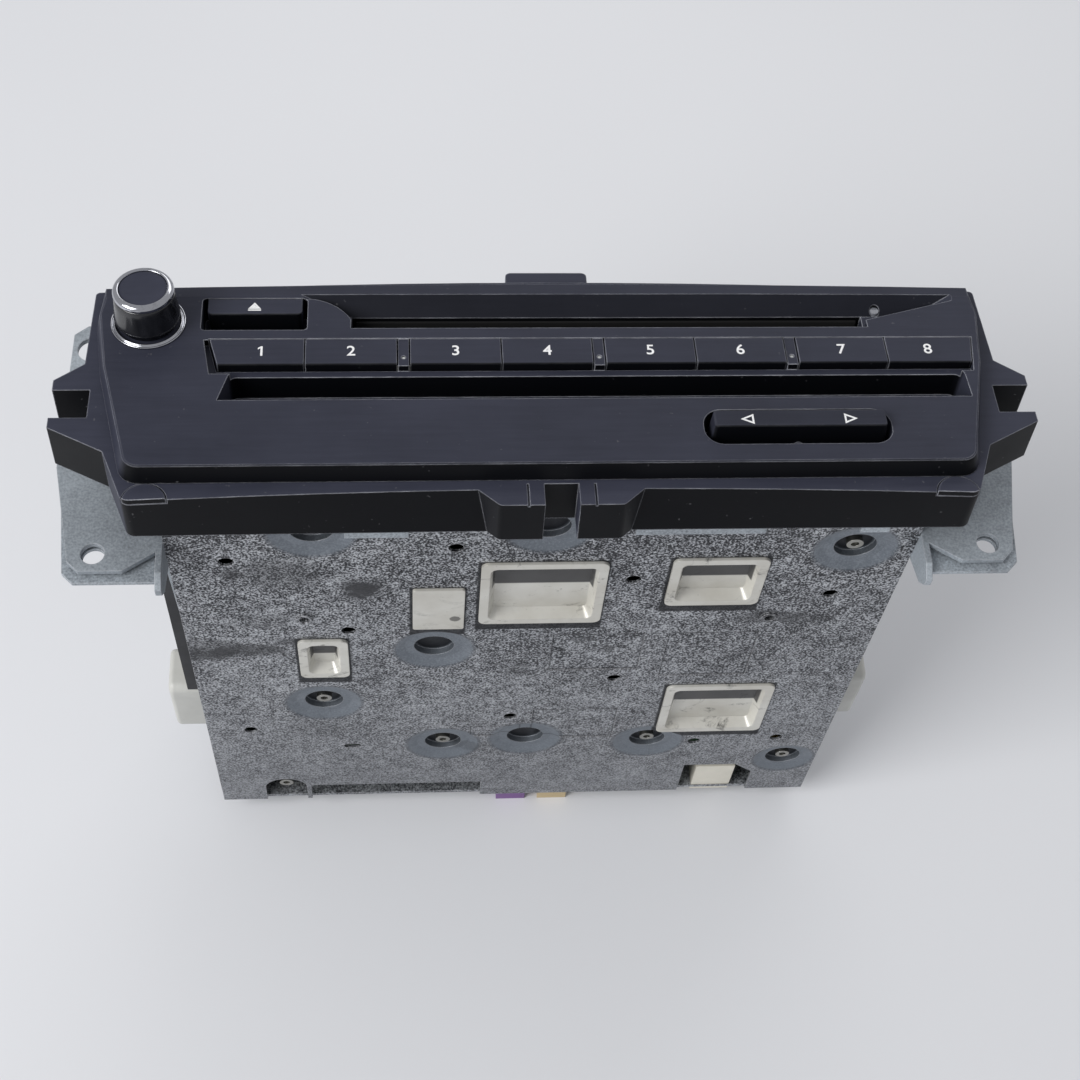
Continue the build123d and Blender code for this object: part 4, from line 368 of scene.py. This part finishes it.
def brightTray(name, node, scuffs=1.0, weld=None):
    # painted shadow: the floor just under the upper rim is darkened as if shaded by the rim
    paint = Paint(name)
    low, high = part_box(node)
    deep = paint.range(paint.along((0, 1, 0)), low.y + 1.2 * mm, low.y + 1.6 * mm)
    # the wall hides the start of the floor from above
    edge = high.z - tray["rim"] * mm - tray["wallShare"] * (high.y - low.y - tray["floor"] * mm)
    edge -= tray["shadowShare"] * (high.z - low.z)
    rimShadowMask = deep * paint.range(paint.along((0, 0, 1)), edge, edge + 0.5 * mm)
    cloud = paint.noise(60.0, 4.0, 0.6)
    body = paint.mix(paint.range(cloud, 0.3, 0.7), tray["light"], tray["warm"])
    blotch = paint.noise(1.0, 5.0, 0.72, paint.stretch((110, 110, 170)), 0.8)
    mark = paint.range(blotch, 0.56, 0.66) * paint.range(paint.noise(700.0, 3.0, 0.7), 0.35, 0.6)
    body = paint.mix(mark * (0.8 * scuffs), body, tray["scuff"])
    body = paint.mix(rimShadowMask * 0.93, body, tray["shadow"])
    if weld:
        spot = paint.around(*weld, tray["weld"], soft=0.8, ragged=0.6, noise=paint.noise(900.0, 3.0, 0.6))
        body = paint.mix(spot * 0.75, body, tray["scuff"])
    rounded = paint.softEdges(0.0003)
    normal = paint.bump(cloud, 0.0001, 0.4, rounded)
    rough = paint.range(cloud, 0.3, 0.7, 0.3, 0.46)
    values = {"Base Color": body, "Roughness": rough, "Metallic": tray["metallic"], "Normal": normal}
    return paint.finish(values)


# plain plastics, rubbers and metals of the rest
def plainPlastic(name, hexCode, roughness=0.45, grime=0.3):
    paint = Paint(name)
    cloud = paint.noise(90.0, 4.0, 0.6)
    body = paint.mix(paint.range(cloud, 0.35, 0.7) * grime, tint(hexCode), tint(hexCode, 0.55))
    rounded = paint.softEdges(0.0003)
    normal = paint.bump(paint.noise(1800.0, 2.0, 0.5), 0.00003, 0.5, rounded)
    rough = paint.range(cloud, 0.3, 0.7, roughness, roughness + 0.12)
    return paint.finish({"Base Color": body, "Roughness": rough, "Normal": normal})


def plainMetal(name, hexCode, roughness=0.3, brushed=(60, 60, 60)):
    paint = Paint(name)
    grain = paint.noise(1.0, 4.0, 0.6, paint.stretch(brushed))
    body = paint.mix(paint.range(grain, 0.3, 0.7), tint(hexCode), tint(hexCode, 0.7))
    rounded = paint.softEdges(0.0002)
    normal = paint.bump(grain, 0.00002, 0.6, rounded)
    rough = paint.range(grain, 0.3, 0.7, roughness, roughness + 0.14)
    return paint.finish({"Base Color": body, "Roughness": rough, "Metallic": 1.0, "Normal": normal})


def circuitBoard(name):
    paint = Paint(name)
    trace = paint.cells(240.0, "Distance", "DISTANCE_TO_EDGE")
    body = paint.mix(paint.range(trace, 0.02, 0.05), tint("2f6b3c"), tint("1c4527"))
    normal = paint.bump(trace, 0.00005, 0.4)
    rough = paint.range(trace, 0.0, 0.1, 0.3, 0.45)
    return paint.finish({"Base Color": body, "Roughness": rough, "Normal": normal})


def printInk(name, hexCode="f2f2f2"):
    paint = Paint(name)
    fleck = paint.range(paint.noise(2600.0, 3.0, 0.6), 0.3, 0.5)
    body = paint.mix(fleck, tint(hexCode, 0.75), tint(hexCode))
    rough = paint.range(fleck, 0.0, 1.0, 0.6, 0.45)
    return paint.finish({"Base Color": body, "Roughness": rough})


# the volume knob, turned as rings about its axis
knob = {
    "footRadius": 7.6, "headRadius": 6.85, "capRadius": 5.5, "start": 5.1, "height": 10.7,
    "neck": 6.5, "neckHeight": 1.9, "chrome": 1.7, "baseRing": 8.6, "baseWidth": 1.1,
    "crown": 1.1, "capSunk": 0.3, "steps": 96, "roundSteps": 6,
}


def knobChrome(name):
    paint = Paint(name)
    scuff = paint.range(paint.noise(520.0, 4.0, 0.7), 0.52, 0.7)
    body = paint.mix(scuff * 0.45, tint("b9bac0"), tint("5c5d62"))
    rough = paint.range(scuff, 0.0, 1.0, 0.1, 0.34)
    normal = paint.bump(paint.noise(240.0, 3.0, 0.5), 0.0001, 0.25)
    return paint.finish({"Base Color": body, "Roughness": rough, "Metallic": 1.0, "Normal": normal})


def knobGloss(name):
    paint = Paint(name)
    wipe = paint.noise(1.0, 4.0, 0.6, paint.stretch((420, 420, 70)))
    body = paint.mix(paint.range(wipe, 0.4, 0.75) * 0.35, tint("0c0d10"), tint("35363c"))
    rough = paint.range(wipe, 0.3, 0.7, 0.16, 0.3)
    return paint.finish({"Base Color": body, "Roughness": rough, "Coat Weight": 0.35})


def turned(name, profile, place, material, body, closed=False):
    # a ring or disc from its profile of (radius, level) in millimetres, along the face's axis
    mesh = bpy.data.meshes.new(name)
    shape = bmesh.new()
    steps = knob["steps"]
    rings = []
    for radius, level in profile:
        ring = []
        for step in range(steps):
            angle = 2 * pi * step / steps
            ring.append(shape.verts.new((radius * cos(angle) * mm, radius * sin(angle) * mm, level * mm)))
        rings.append(ring)
    pairs = list(zip(rings, rings[1:])) + ([(rings[-1], rings[0])] if closed else [])
    for low, high in pairs:
        for step in range(steps):
            after = (step + 1) % steps
            shape.faces.new((low[step], low[after], high[after], high[step]))
    if not closed:
        shape.faces.new(rings[-1])
        shape.faces.new(list(reversed(rings[0])))
    bmesh.ops.recalc_face_normals(shape, faces=shape.faces)
    shape.to_mesh(mesh)
    shape.free()
    mesh.transform(place)
    for face in mesh.polygons:
        face.use_smooth = len(face.vertices) == 4
    mesh.materials.append(material)
    made = bpy.data.objects.new(name, mesh)
    bpy.context.scene.collection.objects.link(made)
    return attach(made, body)


def rounding(radius, level, size):
    # points of a quarter round about (radius, level), from outwards to upwards
    points = []
    for step in range(1, knob["roundSteps"] + 1):
        angle = step / knob["roundSteps"] * pi / 2
        points.append((radius + size * cos(angle), level + size * sin(angle)))
    return points


def buildKnob():
    place = faceMatrix(*knobOnFace, 0)
    crown = knob["start"] + knob["height"]
    foot = crown - knob["chrome"]
    start = knob["start"]
    gloss = knobGloss("knobGloss")
    chrome = knobChrome("knobChrome")
    neckTop = start + knob["neckHeight"]
    skirt = [
        (knob["neck"] - 1.4, start), (knob["neck"], start), (knob["neck"], neckTop),
        (knob["footRadius"] - 0.25, neckTop), (knob["footRadius"], neckTop + 0.25),
        (knob["footRadius"] - 0.08, neckTop + 1.0), (knob["headRadius"] + 0.2, foot - 2.2),
        (knob["headRadius"] + 0.02, foot - 0.3), (knob["headRadius"] - 0.15, foot),
        (knob["capRadius"] - 1.0, foot),
    ]
    skirtPiece = turned("knobSkirt", skirt, place, gloss, "volume_knob")
    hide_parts("volume_knob")
    inner = knob["capRadius"] + 0.02
    outer = knob["headRadius"] + 0.1
    ring = [(inner, foot + 0.02), (outer - 0.25, foot + 0.02), (outer, foot + 0.25)]
    bend = knob["crown"]
    ring += [(outer, crown - bend)] + rounding(outer - bend, crown - bend, bend)
    ring += [(inner + 0.12, crown), (inner, crown - 0.12)]
    ringPiece = turned("knobChromeRing", ring, place, chrome, "volume_knob", closed=True)
    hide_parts("knob_chrome_ring")
    # the cap is dished a little
    edge = knob["capRadius"]
    top = crown - knob["capSunk"]
    cap = [(edge, foot + 0.1), (edge, top - 0.15), (edge - 0.15, top), (4.9, top - 0.02), (4.4, top - 0.09)]
    cap += [(3.6, top - 0.16), (2.4, top - 0.2), (1.0, top - 0.21), (0.2, top - 0.21)]
    black = blackMoulding("capMoulding", edgeWearAndHighlight=0.2, dust=0.4)
    capPiece = turned("knobCap", cap, place, black, "volume_knob")
    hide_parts("knob_cap")
    # two bright crests with a hollow between them
    outer = knob["baseRing"]
    inside = outer - knob["baseWidth"]
    low = panelLevel
    base = [(inside, low), (outer, low), (outer, low + 0.35), (outer - 0.1, low + 0.5)]
    base += [(outer - 0.3, low + 0.5), (outer - 0.42, low + 0.2), (outer - 0.66, low + 0.2)]
    base += [(outer - 0.74, low + 0.6), (outer - 0.86, low + 0.7), (outer - 0.98, low + 0.7)]
    base += [(inside, low + 0.6)]
    basePiece = turned("knobBaseRing", base, place, chrome, "case", closed=True)
    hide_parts("knob_base_ring")
    print("knob built")


# printed marks: numbers on the keys, arrows on the rocker and over the eject button
marks = {
    "numberHeight": 2.95, "numberV": 40.0, "keyTop": 4.65, "ink": 0.03, "lift": 0.01,
    "digitShare": 0.69, "bolder": 0.05,
    "keyLean": {1: 1.0, 8: -0.6},
    "one": [
        (-0.13, -1.47), (0.37, -1.47), (0.37, 1.47), (-0.02, 1.47),
        (-0.72, 0.95), (-0.72, 0.48), (-0.13, 0.86),
    ],
    "rockerTop": 7.0, "rockerV": 16.4, "arrowAt": (43.2, 66.9), "arrowSize": (3.0, 3.0), "arrowLine": 0.42,
    "arrowInset": (2.1, 1.7),
    "ejectU": -68.1, "ejectBar": (52.85, 53.25), "ejectTriangle": (53.45, 55.5), "ejectHalf": 1.5,
}


def laidFlat(name, mesh, place, material, body):
    mesh.transform(place)
    mesh.materials.clear()
    mesh.materials.append(material)
    made = bpy.data.objects.new(name, mesh)
    bpy.context.scene.collection.objects.link(made)
    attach(made, body)
    return made


def numberMesh(number):
    # the number as a thin solid, centred on its own middle
    words = bpy.data.curves.new(f"numberCurve{number}", "FONT")
    words.body = str(number)
    words.size = marks["numberHeight"] / marks["digitShare"] * mm
    words.extrude = marks["ink"] * mm / 2
    words.offset = marks["bolder"] * mm
    words.resolution_u = 8
    holder = bpy.data.objects.new(f"numberHolder{number}", words)
    bpy.context.scene.collection.objects.link(holder)
    bpy.context.view_layer.update()
    solid = bpy.data.meshes.new_from_object(holder.evaluated_get(bpy.context.evaluated_depsgraph_get()))
    bpy.data.objects.remove(holder)
    spots = [vert.co for vert in solid.vertices]
    middle = [(min(c[axis] for c in spots) + max(c[axis] for c in spots)) / 2 for axis in range(3)]
    solid.transform(Matrix.Translation(-Vector(middle)))
    solid.name = f"number{number}"
    return solid


def outlineMesh(name, outer, holes=()):
    # a thin plate from an outline and an inner one, both with as many points
    mesh = bpy.data.meshes.new(name)
    shape = bmesh.new()
    half = marks["ink"] / 2
    if holes:
        loops = []
        for points in (outer, holes):
            low = [shape.verts.new((u * mm, v * mm, -half * mm)) for u, v in points]
            high = [shape.verts.new((u * mm, v * mm, half * mm)) for u, v in points]
            loops.append((low, high))
        count = len(outer)
        (lowOuter, highOuter), (lowInner, highInner) = loops
        for step in range(count):
            after = (step + 1) % count
            shape.faces.new((highOuter[step], highOuter[after], highInner[after], highInner[step]))
            shape.faces.new((lowOuter[after], lowOuter[step], lowInner[step], lowInner[after]))
            shape.faces.new((lowOuter[step], lowOuter[after], highOuter[after], highOuter[step]))
            shape.faces.new((lowInner[after], lowInner[step], highInner[step], highInner[after]))
    else:
        low = [shape.verts.new((u * mm, v * mm, -half * mm)) for u, v in outer]
        high = [shape.verts.new((u * mm, v * mm, half * mm)) for u, v in outer]
        shape.faces.new(high)
        shape.faces.new(list(reversed(low)))
        for step in range(len(outer)):
            after = (step + 1) % len(outer)
            shape.faces.new((low[step], low[after], high[after], high[step]))
    bmesh.ops.recalc_face_normals(shape, faces=shape.faces)
    shape.to_mesh(mesh)
    shape.free()
    return mesh


def printMarks():
    ink = printInk("whitePrint")
    for number in range(1, 9):
        node = f"preset_button_{number}"
        low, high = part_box(node)
        middle = (low.x + high.x) / 2 / mm + marks["keyLean"].get(number, 0)
        place = faceMatrix(middle, marks["numberV"], marks["keyTop"] + marks["lift"])
        solid = outlineMesh("numberOne", marks["one"]) if number == 1 else numberMesh(number)
        laidFlat(f"keyNumber{number}", solid, place, ink, node)
    half, tall = marks["arrowSize"][0] / 2, marks["arrowSize"][1] / 2
    line = marks["arrowLine"]
    tipInset, flankInset = [share * line for share in marks["arrowInset"]]
    for side, u in zip((-1, 1), marks["arrowAt"]):
        outer = [(side * half, 0), (-side * half, tall), (-side * half, -tall)]
        inner = [(side * (half - tipInset), 0), (-side * (half - line), tall - flankInset)]
        inner += [(-side * (half - line), -tall + flankInset)]
        place = faceMatrix(u, marks["rockerV"], marks["rockerTop"] + marks["lift"])
        name = "rockerArrowLeft" if side < 0 else "rockerArrowRight"
        laidFlat(name, outlineMesh(name, outer, inner), place, ink, "seek_rocker")
    place = faceMatrix(marks["ejectU"], 0, marks["keyTop"] + marks["lift"])
    half = marks["ejectHalf"]
    foot, tip = marks["ejectTriangle"]
    triangle = outlineMesh("ejectTriangle", [(-half, foot), (half, foot), (0, tip)])
    laidFlat("ejectTriangle", triangle, place, ink, "eject_button")
    foot, head = marks["ejectBar"]
    bar = outlineMesh("ejectBar", [(-half, foot), (half, foot), (half, head), (-half, head)])
    laidFlat("ejectBar", bar, place, ink, "eject_button")
    print("marks printed")


# plain plastic and rubber pieces: material, colour and roughness
plastics = {
    "left_side_rail": ("railBlack", "1a1b1f", 0.5),
    "glide_blocks": ("glideWhite", "c6c6c1", 0.4),
    "violet_coax_connector": ("coaxViolet", "7a5590", 0.4),
    "beige_coax_connector": ("coaxBeige", "c7b28a", 0.4),
    "accessory_connector": ("accessoryCream", "dcd8cb", 0.4),
    "ribbon_cable": ("cableWhite", "dedcd4", 0.5),
    "key_mat": ("matRubber", "b9b8b2", 0.7),
    "damping_mounts": ("mountRubber", "1d1a1a", 0.7),
    "loading_roller": ("rollerRubber", "161616", 0.75),
    "turntable": ("turntableBlack", "18181b", 0.4),
    "disc_clamp": ("clampWhite", "d8d7d2", 0.4),
    "pickup_sled": ("sledBlack", "1b1b1e", 0.45),
    "encoder_rotor": ("rotorWhite", "dcdbd4", 0.4),
    "slot_felt_strips": ("slotFelt", "0b0b0c", 0.95),
    "status_lens": ("lensSmoke", "7d7f86", 0.2),
    "key_light_guides": ("guideMilk", "cfd0cf", 0.3),
}


def dressNodes():
    bezel = blackMoulding("bezelMoulding", edgeWearAndHighlight=0.8, dust=1.2)
    panel = blackMoulding("panelMoulding", edgeWearAndHighlight=1.0, dust=1.0, dim=0.16)
    keys = blackMoulding("keyMoulding", edgeWearAndHighlight=0.8, dust=0.5, dim=0.15)
    rocker = blackMoulding("rockerMoulding", edgeWearAndHighlight=0.8, dust=0.5, dim=0.35)
    plugs = blackMoulding("plugMoulding", edgeWearAndHighlight=1.3, dust=1.6)
    cover = galvanised("coverZinc", 1.0, 0.78, 0.35, 0.7, 1.0, coverStains, coverDimples)
    case = galvanised("caseZinc", 0.7, 0.85, 0.5, 0.7, 0.5)
    plate = galvanised("plateZinc", 0.2, 1.25, 1.0, 0.35, 0.3)
    flange = galvanised("flangeZinc", 0.13, 1.15, 1.0, 0.3, 0.5)
    steel = plainMetal("driveSteel", "a9adb0", 0.35, (300, 300, 60))
    black = plainPlastic("socketBlack", "15161a", 0.4)
    looks = {
        "bezel_frame": bezel, "front_panel": panel, "corner_plugs": plugs, "eject_button": keys,
        "bottom_cover": cover, "chassis_frame": case, "top_cover": case, "front_plate": plate,
        "left_bracket": flange, "right_bracket": flange, "main_connector": black,
        "seek_rocker": rocker,
        "cover_patch": brightTray("patchBright", "cover_patch", 0.35, (-21.3, 126.7)),
        "connector_pins": plainMetal("pinBrass", "d8c48c", 0.25),
        "case_screws": plainMetal("screwZinc", "a3a29d", 0.3),
        "board_pillars": plainMetal("pillarBrass", "c9a765", 0.3),
        "heat_sink": plainMetal("sinkAluminium", "b9bcbe", 0.4, (60, 900, 60)),
        "main_board": circuitBoard("mainCircuit"), "key_board": circuitBoard("keyCircuit"),
    }
    for node, (name, hexCode, roughness) in plastics.items():
        looks[node] = plainPlastic(name, hexCode, roughness)
    looks["right_side_rail"] = looks["left_side_rail"]
    for size in traySizes:
        looks[f"cover_tray_{size}"] = brightTray(f"{size}TrayBright", f"cover_tray_{size}")
    for node, made in frame["nodes"].items():
        if node.startswith("preset_button"):
            material = keys
        else:
            material = looks.get(node, steel)
        made.data.materials.clear()
        made.data.materials.append(material)
    print("nodes dressed")


# floor, lamps and camera
studio = {
    "floor": tint("e0e1e4"), "floorDeep": tint("dcdde0"), "floorRoughness": 0.36, "worldLevel": 0.52,
    "floorSize": 3.0,
    "lamps": [
        # name, place, what it is turned to, size, watts
        ("windowLamp", (-1.3, -0.7, 1.3), (0, 0, 0.1), (1.1, 1.1), 29.0),
        ("backLamp", (0.4, 1.3, 1.1), (0, 0, 0.15), (1.2, 0.5), 3.6),
    ],
}
eye = {
    "place": (-0.03409, -0.240527, 0.53185), "right": (0.99707, -0.04819, 0.05941),
    "up": (0.01165, 0.86325, 0.50465), "lens": 60.0, "sensor": 36.0,
}


def layFloor():
    mesh = bpy.data.meshes.new("floor")
    shape = bmesh.new()
    bmesh.ops.create_grid(shape, x_segments=8, y_segments=8, size=studio["floorSize"])
    shape.to_mesh(mesh)
    shape.free()
    floor = bpy.data.objects.new("floor", mesh)
    bpy.context.scene.collection.objects.link(floor)
    paint = Paint("tableWhite")
    cloud = paint.noise(3.0, 2.0, 0.5)
    body = paint.mix(paint.range(cloud, 0.3, 0.7), studio["floor"], studio["floorDeep"])
    mesh.materials.append(paint.finish({"Base Color": body, "Roughness": studio["floorRoughness"]}))
    print("floor laid")


def areaLamp(name, place, target, size, energy):
    lamp = bpy.data.lights.new(name, "AREA")
    lamp.shape = "RECTANGLE"
    lamp.size, lamp.size_y = size
    lamp.energy = energy
    made = bpy.data.objects.new(name, lamp)
    made.location = place
    made.rotation_euler = (Vector(target) - Vector(place)).to_track_quat("-Z", "Y").to_euler()
    bpy.context.scene.collection.objects.link(made)


def lightStudio():
    world = bpy.data.worlds.new("studioSky")
    bpy.context.scene.world = world
    world.use_nodes = True
    sky = world.node_tree.nodes["Background"]
    sky.inputs["Color"].default_value = tint("f3f4f7")
    sky.inputs["Strength"].default_value = studio["worldLevel"]
    for name, place, target, size, energy in studio["lamps"]:
        areaLamp(name, place, target, size, energy)
    print("studio lit")


def setCamera():
    right, up = Vector(eye["right"]), Vector(eye["up"])
    back = right.cross(up)
    lens = bpy.data.cameras.new("eye")
    lens.lens = eye["lens"]
    lens.sensor_width = eye["sensor"]
    lens.clip_start = 0.01
    camera = bpy.data.objects.new("eye", lens)
    turn = Matrix((right, up, back)).transposed().to_4x4()
    camera.matrix_world = Matrix.Translation(eye["place"]) @ turn
    bpy.context.scene.collection.objects.link(camera)
    bpy.context.scene.camera = camera
    print("camera set")


dressNodes()
buildKnob()
printMarks()
layFloor()
lightStudio()
setCamera()
bpy.context.scene.view_settings.view_transform = "Standard"

print("scene ready")
